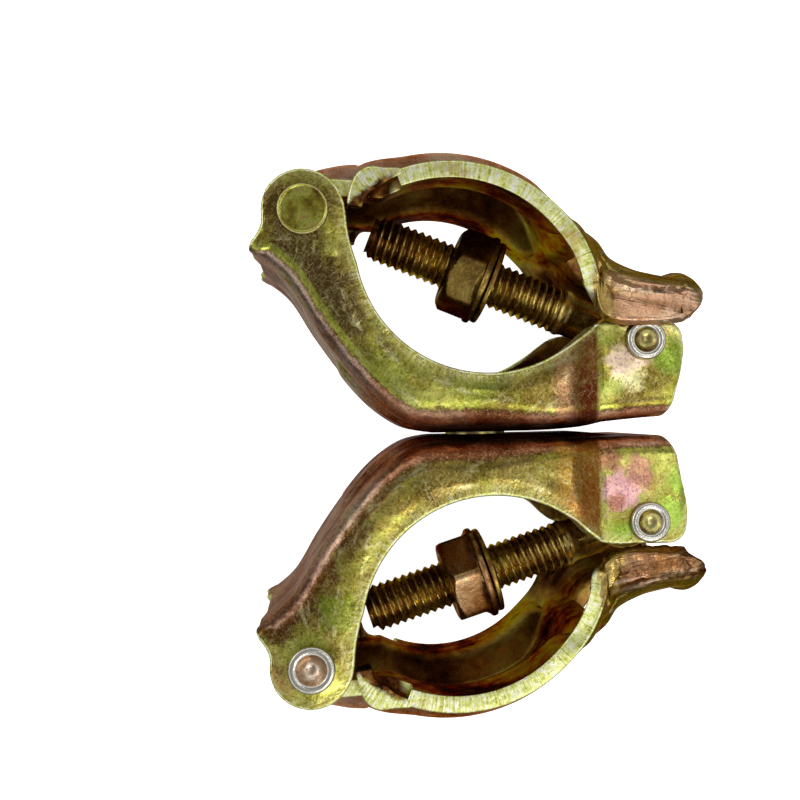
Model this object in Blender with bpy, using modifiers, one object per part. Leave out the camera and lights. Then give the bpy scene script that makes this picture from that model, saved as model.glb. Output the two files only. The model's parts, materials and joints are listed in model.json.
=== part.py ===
"""Swivel scaffold coupler: two pressed-steel half couplers, back to back on a swivel rivet.

World frame: Z runs along both tubes, X from the hinge side (-) to the bolt side (+), and Y along
the swivel rivet, from half b to half a. Each half is drawn in its own half frame: x as in the
world, y outward from the swivel plane, and the origin at the centre of the tube that it grips.
Half b is half a turned 180 degrees about X.
"""
import math

import bmesh
import bpy
from mathutils import Matrix, Vector

MM = 0.001

# Driving dimensions
TUBE_RADIUS = 24.5 * MM                 # seat for a 48.6 mm tube
SWIVEL_OFFSET = 35.74 * MM              # tube centre to swivel plane
SHEET = 3.2 * MM                        # thickness of the pressed steel
RUN_GAP = 0.3 * MM                      # clearance between touching pieces
BODY_HALF_WIDTH = 22.5 * MM             # tube axis direction, outside the side walls
EAR_HALF_WIDTH = 20.5 * MM              # the same, at the bolt ears
JOGGLE_START, JOGGLE_END = 14 * MM, 20 * MM
JOGGLE_SHIFT = 0.5 * MM                 # the inside of the step lies this far back
HINGE = Vector((-33.8, 5.6)) * MM       # flap hinge axis in the half frame
PIN = Vector((29.3, -18.8)) * MM        # bolt pivot axis in the half frame
EAR_RADIUS = 7.55 * MM
FLAP_CENTRE = Vector((-6.95, -13.6)) * MM
FLAP_RADIUS = 24.96 * MM                # inside of the strap's edges
BEAD_HEIGHT = 5.3 * MM
NECK_HALF_WIDTH = 18.6 * MM
KNUCKLE_RADIUS = 6.9 * MM
RIVET_RADIUS = 3.3 * MM
BOLT_PIN_RADIUS = 2.9 * MM
BOLT_RADIUS = 4.75 * MM
BOLT_LENGTH = 55 * MM                   # pivot to tip
BOLT_SIDE_STEP = 2.4 * MM               # the shank's line passes this far outside the pin
STORED_ANGLE = {"a": 22.6, "b": 17.2}   # degrees between the stored bolt and -X
NUT_STATION = {"a": 28.6 * MM, "b": 28.8 * MM}   # pivot to the washer's near face
FLAP_SEAT_TILT = {"a": 0.0, "b": 0.7}   # degrees that each flap rests open
HEX_HALF = 7.9 * MM                     # nut, centre to flat
HEX_TURN = {"a": 11.0, "b": 12.5}       # degrees that each nut is turned on its bolt
FLANGE_RADIUS = 9.3 * MM
SWIVEL_RADIUS = 6.0 * MM
WASHER_SHEET = 1.6 * MM                 # spring washers under the swivel rivet's heads
NUT_WASHER_SHEET = 1.1 * MM
CENTRE = Vector((-0.05, 0.16, 24.3)) * MM   # middle of the swivel axis, seen from the box's foot

COLOURS = {
    "body": (0.42, 0.43, 0.12), "flap": (0.47, 0.44, 0.14), "bolt": (0.20, 0.13, 0.05),
    "nut": (0.34, 0.22, 0.12), "rivet": (0.55, 0.52, 0.47), "washer": (0.40, 0.33, 0.22),
}


def clear_scene():
    for obj in list(bpy.data.objects):
        bpy.data.objects.remove(obj, do_unlink=True)


def new_collection(name):
    collection = bpy.data.collections.new(name)
    bpy.context.scene.collection.children.link(collection)
    return collection


def make_material(name, colour, roughness):
    material = bpy.data.materials.new(name)
    material.use_nodes = True
    shader = material.node_tree.nodes["Principled BSDF"]
    shader.inputs["Base Color"].default_value = (*colour, 1)
    shader.inputs["Metallic"].default_value = 1.0
    shader.inputs["Roughness"].default_value = roughness
    return material


clear_scene()
PARTS = new_collection("scaffold_coupler")
CUTTERS = new_collection("cutters")
MATERIALS = {kind: make_material(kind, colour, 0.35) for kind, colour in COLOURS.items()}


def add_object(name, mesh, kind):
    obj = bpy.data.objects.new(name, mesh)
    PARTS.objects.link(obj)
    mesh.materials.clear()
    mesh.materials.append(MATERIALS[kind])
    return obj


def hide_cutter(obj):
    for owner in list(obj.users_collection):
        owner.objects.unlink(obj)
    CUTTERS.objects.link(obj)
    obj.hide_render = True
    obj.display_type = "WIRE"
    return obj


def boolean(obj, other, operation):
    modifier = obj.modifiers.new(f"{operation.lower()}_{other.name}", "BOOLEAN")
    modifier.operation = operation
    modifier.solver = "EXACT"
    modifier.object = other


def soften(obj, width):
    modifier = obj.modifiers.new("bevel", "BEVEL")
    modifier.width = width
    modifier.segments = 1
    modifier.limit_method = "ANGLE"
    modifier.angle_limit = math.radians(35)


def smooth(obj):
    obj.data.shade_smooth()
    obj.data.set_sharp_from_angle(angle=math.radians(35))


# Outlines

def arc(centre, radius, start, end, steps):
    """Points on a circle from start to end, in degrees."""
    angles = [math.radians(start + (end - start) * i / steps) for i in range(steps + 1)]
    return [Vector((centre[0] + radius * math.cos(a), centre[1] + radius * math.sin(a)))
            for a in angles]


def curve_through(points, steps):
    """A Catmull-Rom curve through the points, with the end points doubled."""
    ends = [points[0], *points, points[-1]]
    line = []
    for i in range(1, len(ends) - 2):
        p, q, r, s = (Vector(ends[i + k]) for k in (-1, 0, 1, 2))
        for n in range(steps):
            t = n / steps
            line.append(0.5 * (2 * q + (r - p) * t + (2 * p - 5 * q + 4 * r - s) * t * t
                               + (3 * q - p - 3 * r + s) * t ** 3))
    return [*line, Vector(points[-1])]


def offset_line(line, distance):
    """The line moved to its left by a distance."""
    moved = []
    for i, point in enumerate(line):
        run = (line[min(i + 1, len(line) - 1)] - line[max(i - 1, 0)]).normalized()
        moved.append(point + Vector((-run.y, run.x)) * distance)
    return moved


def prism(name, outline, half_depth, kind):
    """A flat outline extruded both ways along Z, as a mesh with welded caps."""
    curve = bpy.data.curves.new(name, "CURVE")
    curve.dimensions = "2D"
    curve.fill_mode = "BOTH"
    curve.extrude = half_depth
    spline = curve.splines.new("POLY")
    spline.points.add(len(outline) - 1)
    for point, place in zip(spline.points, outline):
        point.co = (place[0], place[1], 0, 1)
    spline.use_cyclic_u = True
    source = bpy.data.objects.new(name + "_outline", curve)
    PARTS.objects.link(source)
    evaluated = source.evaluated_get(bpy.context.evaluated_depsgraph_get())
    mesh = bpy.data.meshes.new_from_object(evaluated)
    bpy.data.objects.remove(source)
    mesh.name = name
    work = bmesh.new()
    work.from_mesh(mesh)
    bmesh.ops.remove_doubles(work, verts=work.verts, dist=1e-6)
    bmesh.ops.dissolve_limit(work, angle_limit=1e-4, verts=work.verts, edges=work.edges)
    bmesh.ops.recalc_face_normals(work, faces=work.faces)
    work.to_mesh(mesh)
    work.free()
    return add_object(name, mesh, kind)


def turned(name, profile, kind, sides=32):
    """A profile of (radius, height) points, from the top down, turned about Z."""
    mesh = bpy.data.meshes.new(name)
    points = [(r, 0, h) for r, h in profile]
    mesh.from_pydata(points, [(i, i + 1) for i in range(len(points) - 1)], [])
    obj = add_object(name, mesh, kind)
    screw = obj.modifiers.new("screw", "SCREW")
    screw.steps = screw.render_steps = sides
    screw.use_merge_vertices = True
    screw.merge_threshold = 1e-6
    screw.use_smooth_shade = True
    return obj


def cylinder(name, radius, height, kind, sides=32, turn=0.0):
    mesh = bpy.data.meshes.new(name)
    work = bmesh.new()
    bmesh.ops.create_cone(work, cap_ends=True, segments=sides, radius1=radius, radius2=radius,
                          depth=height, matrix=Matrix.Rotation(turn, 4, "Z"))
    work.to_mesh(mesh)
    work.free()
    return add_object(name, mesh, kind)


# Frames and placing

def half_frame(side):
    """The empty that carries half a or b: b is turned over about X."""
    empty = bpy.data.objects.new("half_" + side, None)
    PARTS.objects.link(empty)
    sign = 1 if side == "a" else -1
    empty.location = CENTRE + Vector((0, sign * SWIVEL_OFFSET, 0))
    empty.rotation_euler = (0 if side == "a" else math.pi, 0, 0)
    return empty


def child_frame(name, parent, place, angle=0.0):
    """An empty on a joint axis of a half, turned about Z."""
    empty = bpy.data.objects.new(name, None)
    PARTS.objects.link(empty)
    empty.parent = parent
    empty.location = (place[0], place[1], 0)
    empty.rotation_euler = (0, 0, angle)
    return empty


def put(obj, parent, location=(0, 0, 0), rotation=(0, 0, 0)):
    obj.parent = parent
    obj.location = location
    obj.rotation_euler = rotation
    return obj


# Body

BACK_KEYS = [Vector(p) * MM for p in (
    (-42.9, -2.0), (-37.4, -6.5), (-32.3, -14.6), (-26.6, -22.6), (-20.8, -29.2), (-14.8, -33.4),
    (-9.5, -34.6))]
BACK_LEVEL = -34.6 * MM                  # outside of the flat back
BACK_END = Vector((32.3 * MM, BACK_LEVEL))
EAR_SIDE = [Vector(p) * MM for p in ((34.9, -30.5), (36.0, -26.5), (36.7, -20.5))]
EAR_TOP = -15.4 * MM
EAR_TOP_START = 21.3 * MM                # where the ear's top edge leaves the seat
EAR_CORNER = 3.2 * MM
SEAT_ENDS = (-52, -186)                  # degrees about the tube, from the bolt ear to the hinge ear
HINGE_EAR_ENDS = (2, 182)
NECK_CORNER = Vector((-41.5, 1.5)) * MM
CHANNEL_TOP = 30 * MM                    # the channel's cutter ends clear of the body
CHANNEL_SIDES = (-50 * MM, 45 * MM)
CHANNEL_LEAD = Vector((-6, 5)) * MM      # carries the cutter out past the hinge end
RIB_HALF_WIDTH = 8 * MM
RIB_HEIGHT = 0.95 * MM
RIB_ENDS = (-27 * MM, 28 * MM)
BEND_RADIUS = 3.8 * MM
BEND_STEPS = 3


def back_line():
    return [*curve_through(BACK_KEYS, 4), BACK_END]


def body_outline(inset):
    """The side view's outline, with the back moved inwards by the inset."""
    right = EAR_SIDE[-1].x
    corner = (right - EAR_CORNER, EAR_TOP - EAR_CORNER)
    seat = arc((0, 0), TUBE_RADIUS, *SEAT_ENDS, 22)
    ear = arc(HINGE, EAR_RADIUS, *HINGE_EAR_ENDS, 14)
    return [*offset_line(back_line(), inset), *EAR_SIDE[:-1], *arc(corner, EAR_CORNER, 0, 90, 4),
            Vector((EAR_TOP_START, EAR_TOP)), *seat, *ear, NECK_CORNER]


def stacked(name, levels, kind):
    """A closed solid through outlines of equal length: levels are (outline, z) from the bottom."""
    count = len(levels[0][0])
    work = bmesh.new()
    rings = [[work.verts.new((p[0], p[1], z)) for p in outline] for outline, z in levels]
    for low, high in zip(rings, rings[1:]):
        for i in range(count):
            j = (i + 1) % count
            work.faces.new((low[i], low[j], high[j], high[i]))
    work.faces.new(rings[-1])
    work.faces.new(list(reversed(rings[0])))
    bmesh.ops.recalc_face_normals(work, faces=work.faces)
    mesh = bpy.data.meshes.new(name)
    work.to_mesh(mesh)
    work.free()
    return add_object(name, mesh, kind)


def bend_levels():
    """Body outlines from the lower side wall to the upper, following the bend radius."""
    upper = []
    for i in range(BEND_STEPS + 1):
        turn = math.radians(90 * i / BEND_STEPS)
        inset = BEND_RADIUS * (1 - math.cos(turn))
        upper.append((body_outline(inset), BODY_HALF_WIDTH - BEND_RADIUS * (1 - math.sin(turn))))
    return [*[(outline, -z) for outline, z in reversed(upper)], *upper]


def narrow_at_ears(obj, ratio, planes):
    """Steps the side walls in: bisects at both ends of the joggle and scales Z beyond it."""
    work = bmesh.new()
    work.from_mesh(obj.data)
    for x in planes:
        bmesh.ops.bisect_plane(work, geom=[*work.verts, *work.edges, *work.faces],
                               plane_co=(x, 0, 0), plane_no=(1, 0, 0), dist=1e-7)
    for vertex in work.verts:
        part = (vertex.co.x - planes[0]) / (planes[1] - planes[0])
        vertex.co.z *= 1 + (ratio - 1) * min(max(part, 0), 1)
    bmesh.ops.triangulate(work, faces=[f for f in work.faces if len(f.verts) > 4])
    work.to_mesh(obj.data)
    work.free()


def make_body(side, parent):
    name = "body_" + side
    body = stacked(name, bend_levels(), "body")
    narrow_at_ears(body, EAR_HALF_WIDTH / BODY_HALF_WIDTH, (JOGGLE_START, JOGGLE_END))

    inner = offset_line(back_line(), SHEET)
    left, right = CHANNEL_SIDES
    channel = [inner[0] + CHANNEL_LEAD, *inner, Vector((right, inner[-1].y)),
               Vector((right, CHANNEL_TOP)), Vector((left, CHANNEL_TOP))]
    cavity = prism(name + "_channel", channel, BODY_HALF_WIDTH - SHEET, "body")
    narrow_at_ears(cavity, (EAR_HALF_WIDTH - SHEET) / (BODY_HALF_WIDTH - SHEET),
                   (JOGGLE_START - JOGGLE_SHIFT, JOGGLE_END - JOGGLE_SHIFT))

    back = [p for p in back_line() if RIB_ENDS[0] < p.x < BACK_END.x - 1 * MM]
    back[0] = back[0].lerp(back[1], 0.4)
    back.append(Vector((RIB_ENDS[1], BACK_LEVEL)))
    rib_outline = [*offset_line(back, -RIB_HEIGHT), *reversed(offset_line(back, 1 * MM))]
    rib = prism(name + "_rib", rib_outline, RIB_HALF_WIDTH, "body")
    soften(rib, 0.7 * MM)

    swivel_hole = cylinder(name + "_swivel_hole", SWIVEL_RADIUS + RUN_GAP, 20 * MM, "body")
    pin_hole = cylinder(name + "_pin_hole", BOLT_PIN_RADIUS + RUN_GAP, 60 * MM, "body", 24)
    hinge_hole = cylinder(name + "_hinge_hole", RIVET_RADIUS + RUN_GAP, 60 * MM, "body", 24)
    put(swivel_hole, parent, (0, -SWIVEL_OFFSET, 0), (math.pi / 2, 0, 0))
    put(pin_hole, parent, (*PIN, 0))
    put(hinge_hole, parent, (*HINGE, 0))
    put(body, parent)
    put(cavity, parent)
    put(rib, parent)
    boolean(body, hide_cutter(rib), "UNION")
    for cutter in (cavity, swivel_hole, pin_hole, hinge_hole):
        boolean(body, hide_cutter(cutter), "DIFFERENCE")
    return body


# Flap

STRAP_START = 118                       # degrees about the flap's centre
STRAP_END_CENTRE, STRAP_END_EDGE = 33, 13
STRAP_STEPS = 13
BEAD_PROFILE = ((0, 1), (3, 1), (6, 0.95), (8.6, 0.72), (10.6, 0.38), (12.6, 0.1), (15, 0))
STRAP_EDGE = 22.3 * MM
WING_ENDS = (112, 131)                  # degrees: the strap's edges reach on past the neck
WING_HALF_WIDTH = 2.9 * MM
SLOT_HALF_WIDTH = 5.3 * MM
SLOT_START = 21.5 * MM
TAIL_TIP = 43.2 * MM

# The tail's stations: centre line of the top plate, then the lower edge of the side skirts
TAIL_TOP = [Vector(p) * MM for p in (
    (21.4, 0.6), (24.0, -2.8), (28.8, -5.0), (33.0, -6.0), (37.0, -6.4), (40.0, -6.8), (41.8, -8.4))]
TAIL_EDGE = [Vector(p) * MM for p in (
    (19.6, -11.0), (20.8, -13.6), (23.8, -15.0), (28.5, -15.1), (33.5, -14.8), (37.0, -13.6),
    (39.6, -11.5))]
TAIL_HALF_WIDTH = [20.8, 20.9, 20.9, 20.9, 20.4, 19.0, 17.0]


def strap_section(part):
    """Mid-sheet points across the strap: the edges run further round than the bead."""
    base = FLAP_RADIUS + SHEET / 2
    points = []
    for z, height in (*((z * MM, h) for z, h in BEAD_PROFILE), (STRAP_EDGE, 0)):
        end = STRAP_END_CENTRE + (STRAP_END_EDGE - STRAP_END_CENTRE) * z / STRAP_EDGE
        a = math.radians(STRAP_START + (end - STRAP_START) * part)
        out = Vector((math.cos(a), math.sin(a)))
        points.append((FLAP_CENTRE + out * (base + BEAD_HEIGHT * height), z))
    return points


def tail_section(top, edge, half_width):
    """Mid-sheet points across the tail: flat top, rounded shoulders and a skirt."""
    shoulder = ((0, 0), (0.25, 0), (0.5, 0.015), (0.66, 0.08), (0.8, 0.22), (0.9, 0.42),
                (0.97, 0.7), (1, 1))
    return [(top.lerp(edge, drop), half_width * across) for across, drop in shoulder]


def neck_section(point, rise, out):
    """Mid-sheet points across the neck, with the bead growing from the knuckle."""
    return [(point + out * (rise * h), z) for z, h in
            (*((z * MM, h) for z, h in BEAD_PROFILE), (NECK_HALF_WIDTH, 0))]


def neck_stations():
    """From the top of the knuckle to the strap: (mid-sheet point, bead rise, outward)."""
    middle = KNUCKLE_RADIUS - SHEET / 2
    stations = []
    for angle, rise in ((90, 0), (75, 0.4 * MM)):
        out = Vector((math.cos(math.radians(angle)), math.sin(math.radians(angle))))
        stations.append((HINGE + out * middle, rise, Vector((0, 1))))
    a = math.radians(STRAP_START)
    out = Vector((math.cos(a), math.sin(a)))
    end = FLAP_CENTRE + out * (FLAP_RADIUS + SHEET / 2)
    start = stations[-1][0]
    for part, rise in ((0.3, 2.4), (0.6, 4.4)):
        lean = Vector((0, 1)).lerp(out, part)
        stations.append((start.lerp(end, part), rise * MM, lean.normalized()))
    return stations


def loft(name, sections, kind):
    """An open sheet through the sections, mirrored about Z = 0."""
    rows = [[(p.x, p.y, z) for p, z in section] for section in sections]
    count = len(rows[0])
    verts = [v for row in rows for v in row]
    faces = [(r * count + c, r * count + c + 1, (r + 1) * count + c + 1, (r + 1) * count + c)
             for r in range(len(rows) - 1) for c in range(count - 1)]
    mesh = bpy.data.meshes.new(name)
    mesh.from_pydata(verts, [], faces)
    obj = add_object(name, mesh, kind)
    mirror = obj.modifiers.new("mirror", "MIRROR")
    mirror.use_axis = (False, False, True)
    mirror.merge_threshold = 1e-6
    return obj


def make_flap(side, frame):
    name = "flap_" + side
    strap = [strap_section(i / STRAP_STEPS) for i in range(STRAP_STEPS + 1)]
    tail = [tail_section(*station) for station in
            zip(TAIL_TOP, TAIL_EDGE, [w * MM for w in TAIL_HALF_WIDTH])]
    flap = loft(name, [*[neck_section(*s) for s in neck_stations()], *strap, *tail], "flap")
    solid = flap.modifiers.new("sheet", "SOLIDIFY")
    solid.thickness = SHEET
    solid.offset = 0

    knuckle = cylinder(name + "_knuckle", KNUCKLE_RADIUS, 2 * NECK_HALF_WIDTH, "flap")
    hole = cylinder(name + "_hinge_hole", RIVET_RADIUS + RUN_GAP, 60 * MM, "flap", 24)
    wings = []
    root, tip = WING_ENDS
    wing_outline = [*arc(FLAP_CENTRE, FLAP_RADIUS + SHEET, tip, root, 4),
                    *arc(FLAP_CENTRE, FLAP_RADIUS, root, tip, 4)]
    for place, sign in (("lower", -1), ("upper", 1)):
        wing = prism(f"{name}_wing_{place}", wing_outline, WING_HALF_WIDTH, "flap")
        put(wing, frame, (*-HINGE, sign * (STRAP_EDGE - WING_HALF_WIDTH)))
        wings.append(wing)
    slot_length = TAIL_TIP + 5 * MM - SLOT_START
    slot_outline = [Vector((SLOT_START, -SLOT_HALF_WIDTH)),
                    Vector((SLOT_START + slot_length, -SLOT_HALF_WIDTH)),
                    Vector((SLOT_START + slot_length, SLOT_HALF_WIDTH)),
                    Vector((SLOT_START, SLOT_HALF_WIDTH))]
    slot = prism(name + "_slot", slot_outline, 25 * MM, "flap")
    put(slot, frame, (-HINGE.x, -HINGE.y, 0), (math.pi / 2, 0, 0))
    put(flap, frame, (*-HINGE, 0))
    put(knuckle, frame)
    put(hole, frame)
    boolean(flap, hide_cutter(slot), "DIFFERENCE")
    for piece in (knuckle, *wings):
        boolean(flap, hide_cutter(piece), "UNION")
    boolean(flap, hide_cutter(hole), "DIFFERENCE")
    return flap


# Rivets

def make_flap_rivet(side, parent):
    """Flat head on the half's upper side, peened ring with a conical hollow below."""
    top, bottom = BODY_HALF_WIDTH + RUN_GAP, -BODY_HALF_WIDTH - RUN_GAP
    head, ring = 4.75 * MM, 4.3 * MM
    profile = ((0, top + 0.7 * MM), (head - 0.4 * MM, top + 0.9 * MM), (head, top + 0.5 * MM),
               (head, top), (RIVET_RADIUS, top), (RIVET_RADIUS, bottom), (ring - 0.3 * MM, bottom),
               (ring, bottom - 0.5 * MM), (ring - 0.3 * MM, bottom - 1.3 * MM),
               (2.9 * MM, bottom - 1.5 * MM), (2.6 * MM, bottom + 0.2 * MM), (0, bottom + 1.2 * MM))
    return put(turned("flap_rivet_" + side, profile, "rivet"), parent, (*HINGE, 0))


def make_bolt_pin(side, parent):
    """Both ends peened to rings with conical hollows."""
    end = EAR_HALF_WIDTH + RUN_GAP
    ring = 3.4 * MM
    upper = ((0, end - 0.6 * MM), (1.9 * MM, end + 0.6 * MM), (2.3 * MM, end + 1.9 * MM),
             (ring - 0.4 * MM, end + 1.9 * MM), (ring, end + 1.3 * MM), (ring, end),
             (BOLT_PIN_RADIUS, end))
    lower = tuple((r, -h) for r, h in reversed(upper))
    return put(turned("bolt_pin_" + side, (*upper, *lower), "rivet"), parent, (*PIN, 0))


def make_swivel_rivet():
    """One rivet through both backs, with a head inside each channel."""
    floor = SWIVEL_OFFSET + BACK_LEVEL + SHEET
    seat = floor + WASHER_SHEET + 2 * RUN_GAP
    head = 8.6 * MM
    upper = ((0, seat + 3.2 * MM), (head - 2.4 * MM, seat + 3.0 * MM), (head, seat + 1.2 * MM),
             (head, seat), (SWIVEL_RADIUS, seat))
    lower = tuple((r, -h) for r, h in reversed(upper))
    rivet = turned("swivel_rivet", (*upper, *lower), "rivet")
    rivet.location = CENTRE
    rivet.rotation_euler = (-math.pi / 2, 0, 0)
    return rivet


def make_swivel_washer(side, parent):
    floor = BACK_LEVEL + SHEET + RUN_GAP
    low, high = 0.0, WASHER_SHEET
    inner, outer = SWIVEL_RADIUS + RUN_GAP, 9.4 * MM
    profile = ((inner, high), (outer, high), (outer, low), (inner, low), (inner, high))
    washer = turned("swivel_washer_" + side, profile, "washer")
    return put(washer, parent, (0, floor, 0), (-math.pi / 2, 0, 0))


# Bolt, nut and washer: drawn with the shank along +X of the bolt's frame

def bolt_frame(side, parent):
    """On the pin axis, with +X towards the bolt's free end and +Y towards the body."""
    angle = math.radians(180 - STORED_ANGLE[side])
    return child_frame("bolt_frame_" + side, parent, PIN, angle)


def make_eye_bolt(side, frame):
    """A flat eye on the pin, and a plain shank at the thread's outer diameter."""
    eye_radius, eye_half = 7.0 * MM, 5.0 * MM
    name = "eye_bolt_" + side
    outline = [*arc((0, 0), eye_radius, 60, 300, 16),
               Vector((11 * MM, -BOLT_SIDE_STEP - 4.4 * MM)),
               Vector((11 * MM, -BOLT_SIDE_STEP + 4.4 * MM))]
    eye = prism(name, outline, eye_half, "bolt")
    soften(eye, 0.6 * MM)
    shank_start = 7.5 * MM
    length = BOLT_LENGTH - shank_start
    chamfer = 1.0 * MM
    shank = turned(name + "_shank", ((0, length), (BOLT_RADIUS - chamfer, length),
                   (BOLT_RADIUS, length - chamfer), (BOLT_RADIUS, 0), (0, 0)), "bolt", 24)
    hole = cylinder(name + "_hole", BOLT_PIN_RADIUS + RUN_GAP, 30 * MM, "bolt", 24)
    put(eye, frame)
    put(shank, frame, (shank_start, -BOLT_SIDE_STEP, 0), (0, math.pi / 2, 0))
    put(hole, frame)
    boolean(eye, hide_cutter(shank), "UNION")
    boolean(eye, hide_cutter(hole), "DIFFERENCE")
    return eye


def make_washer(side, frame):
    inner, outer = BOLT_RADIUS + RUN_GAP, 9.0 * MM
    low, high = 0.0, NUT_WASHER_SHEET
    profile = ((inner, high), (outer, high), (outer, low), (inner, low), (inner, high))
    washer = turned("nut_washer_" + side, profile, "washer")
    return put(washer, frame, (NUT_STATION[side], -BOLT_SIDE_STEP, 0), (0, math.pi / 2, 0))


def make_flange_nut(side, frame):
    """A hexagon on a round flange, the flange towards the pivot."""
    name = "flange_nut_" + side
    flange, height = 1.7 * MM, 7.8 * MM
    corner = HEX_HALF / math.cos(math.radians(30))
    turn = math.radians(HEX_TURN[side])
    nut = turned(name, ((0, 2.6 * MM), (8.0 * MM, 2.6 * MM), (FLANGE_RADIUS, flange - 0.6 * MM),
                        (FLANGE_RADIUS, 0), (0, 0)), "nut")
    hexagon = cylinder(name + "_hexagon", corner, height - 1 * MM, "nut", 6, turn)
    thread = cylinder(name + "_bore", BOLT_RADIUS + RUN_GAP, 40 * MM, "nut", 32)
    start = NUT_STATION[side] + NUT_WASHER_SHEET + RUN_GAP
    put(nut, frame, (start, -BOLT_SIDE_STEP, 0), (0, math.pi / 2, 0))
    put(hexagon, frame, (start + 1 * MM + (height - 1 * MM) / 2, -BOLT_SIDE_STEP, 0),
        (0, math.pi / 2, 0))
    put(thread, frame, (start, -BOLT_SIDE_STEP, 0), (0, math.pi / 2, 0))
    boolean(nut, hide_cutter(hexagon), "UNION")
    boolean(nut, hide_cutter(thread), "DIFFERENCE")
    return nut


# Assembly

def make_half(side):
    half = half_frame(side)
    made = [make_body(side, half)]
    flap_frame = child_frame("flap_frame_" + side, half, HINGE, math.radians(FLAP_SEAT_TILT[side]))
    made.append(make_flap(side, flap_frame))
    made.append(make_flap_rivet(side, half))
    made.append(make_bolt_pin(side, half))
    made.append(make_swivel_washer(side, half))
    frame = bolt_frame(side, half)
    made += [make_eye_bolt(side, frame), make_washer(side, frame), make_flange_nut(side, frame)]
    return made


PIECES = [*make_half("a"), *make_half("b"), make_swivel_rivet()]
for piece in PIECES:
    smooth(piece)
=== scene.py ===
"""Looks of the swivel scaffold coupler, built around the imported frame.

Each half is drawn in its half frame, in millimetres: x as in the frame, y outward from the swivel
plane, and the origin at the centre of the tube that it grips. Half b is half a turned over about X.
"""
import json
import math

import bpy
import numpy as np
from mathutils import Matrix, Vector


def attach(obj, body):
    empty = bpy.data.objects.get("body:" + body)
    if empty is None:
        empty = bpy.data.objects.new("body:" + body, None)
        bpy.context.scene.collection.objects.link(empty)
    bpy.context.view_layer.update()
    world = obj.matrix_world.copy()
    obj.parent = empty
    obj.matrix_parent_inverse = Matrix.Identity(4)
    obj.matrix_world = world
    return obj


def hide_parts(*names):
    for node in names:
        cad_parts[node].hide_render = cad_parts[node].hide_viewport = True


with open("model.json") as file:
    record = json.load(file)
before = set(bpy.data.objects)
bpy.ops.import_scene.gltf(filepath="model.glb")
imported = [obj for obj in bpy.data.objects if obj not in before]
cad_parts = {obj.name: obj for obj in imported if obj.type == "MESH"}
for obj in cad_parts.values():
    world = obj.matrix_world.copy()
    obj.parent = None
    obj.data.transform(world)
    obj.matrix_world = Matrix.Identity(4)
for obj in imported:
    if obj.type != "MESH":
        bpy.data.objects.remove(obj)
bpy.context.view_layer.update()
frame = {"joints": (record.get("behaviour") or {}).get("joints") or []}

MM = 0.001
JOINTS = {joint["name"]: joint for joint in frame["joints"]}
CENTRE = Vector(JOINTS["swivel"]["pos_m"])
SWIVEL_OFFSET = 35.74                    # tube centre to swivel plane
SHEET = 3.2                              # the pressed steel's thickness
SIGN = {"a": 1, "b": -1}


def half_matrix(side):
    """From a half frame to the world."""
    shift = Matrix.Translation(CENTRE + Vector((0, SIGN[side] * SWIVEL_OFFSET * MM, 0)))
    return shift if side == "a" else shift @ Matrix.Rotation(math.pi, 4, "X")


def across(matrix, place):
    """A frame along Z at a place of a half frame."""
    return matrix @ Matrix.Translation(Vector((place[0], place[1], 0)) * MM)


def in_half(joint):
    """A joint's place in the plane of half a's frame, in millimetres."""
    return np.array((half_matrix("a").inverted() @ Vector(JOINTS[joint]["pos_m"]) / MM)[:2])


HINGE, PIN = in_half("flap_open_a"), in_half("bolt_swing_a")


# Curves and small maths

def ease(value, low=0.0, high=1.0):
    part = np.clip((np.asarray(value, float) - low) / (high - low), 0, 1)
    return part * part * (3 - 2 * part)


def bump(value, middle, width):
    return np.exp(-((np.asarray(value, float) - middle) / width) ** 2)


def arc(centre, radius, start, end, steps):
    angles = np.radians(np.linspace(start, end, steps + 1))
    return np.stack([centre[0] + radius * np.cos(angles), centre[1] + radius * np.sin(angles)], 1)


def on_circle(centre, radius, degrees):
    return arc(centre, radius, degrees, degrees, 0)[0]


def catmull(points, steps):
    """A Catmull-Rom curve through rows of points of any shape, with the end rows doubled."""
    rows = np.asarray(points, float)
    rows = np.concatenate([rows[:1], rows, rows[-1:]])
    made = []
    for i in range(1, len(rows) - 2):
        p, q, r, s = rows[i - 1:i + 3]
        for t in np.arange(steps) / steps:
            made.append(0.5 * (2 * q + (r - p) * t + (2 * p - 5 * q + 4 * r - s) * t * t
                               + (3 * q - p - 3 * r + s) * t ** 3))
    return np.array([*made, rows[-2]])


def lengths(line):
    steps = np.linalg.norm(np.diff(line, axis=0), axis=1)
    return np.concatenate([[0], np.cumsum(steps)])


def at_length(line, places, values=None):
    """Points of a line, or values that go with its points, at the given lengths along it."""
    values = line if values is None else values
    return np.stack([np.interp(places, lengths(line), column) for column in values.T], 1)


def length_at(line, point):
    """How far along a line its nearest point to a place lies."""
    return lengths(line)[np.argmin(np.linalg.norm(line - np.asarray(point), axis=1))]


def unit(vectors):
    size = np.linalg.norm(vectors, axis=-1, keepdims=True)
    return vectors / np.maximum(size, 1e-9)


# Meshes

def add_object(name, data):
    obj = bpy.data.objects.new(name, data)
    bpy.context.scene.collection.objects.link(obj)
    return obj


def new_object(name, verts, faces, matrix, materials, face_kind=None, fields=None):
    """A piece from half-frame millimetres, with its material indices and named point fields."""
    mesh = bpy.data.meshes.new(name)
    mesh.from_pydata((np.asarray(verts) * MM).tolist(), [], [list(f) for f in faces])
    for material in materials:
        mesh.materials.append(material)
    if face_kind is not None:
        mesh.polygons.foreach_set("material_index", np.asarray(face_kind, np.int32))
    for field, values in (fields or {}).items():
        layer = mesh.attributes.new(field, "FLOAT", "POINT")
        layer.data.foreach_set("value", np.asarray(values, np.float32))
    mesh.update()
    obj = add_object(name, mesh)
    obj.matrix_world = matrix
    mesh.shade_smooth()
    return obj


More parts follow.
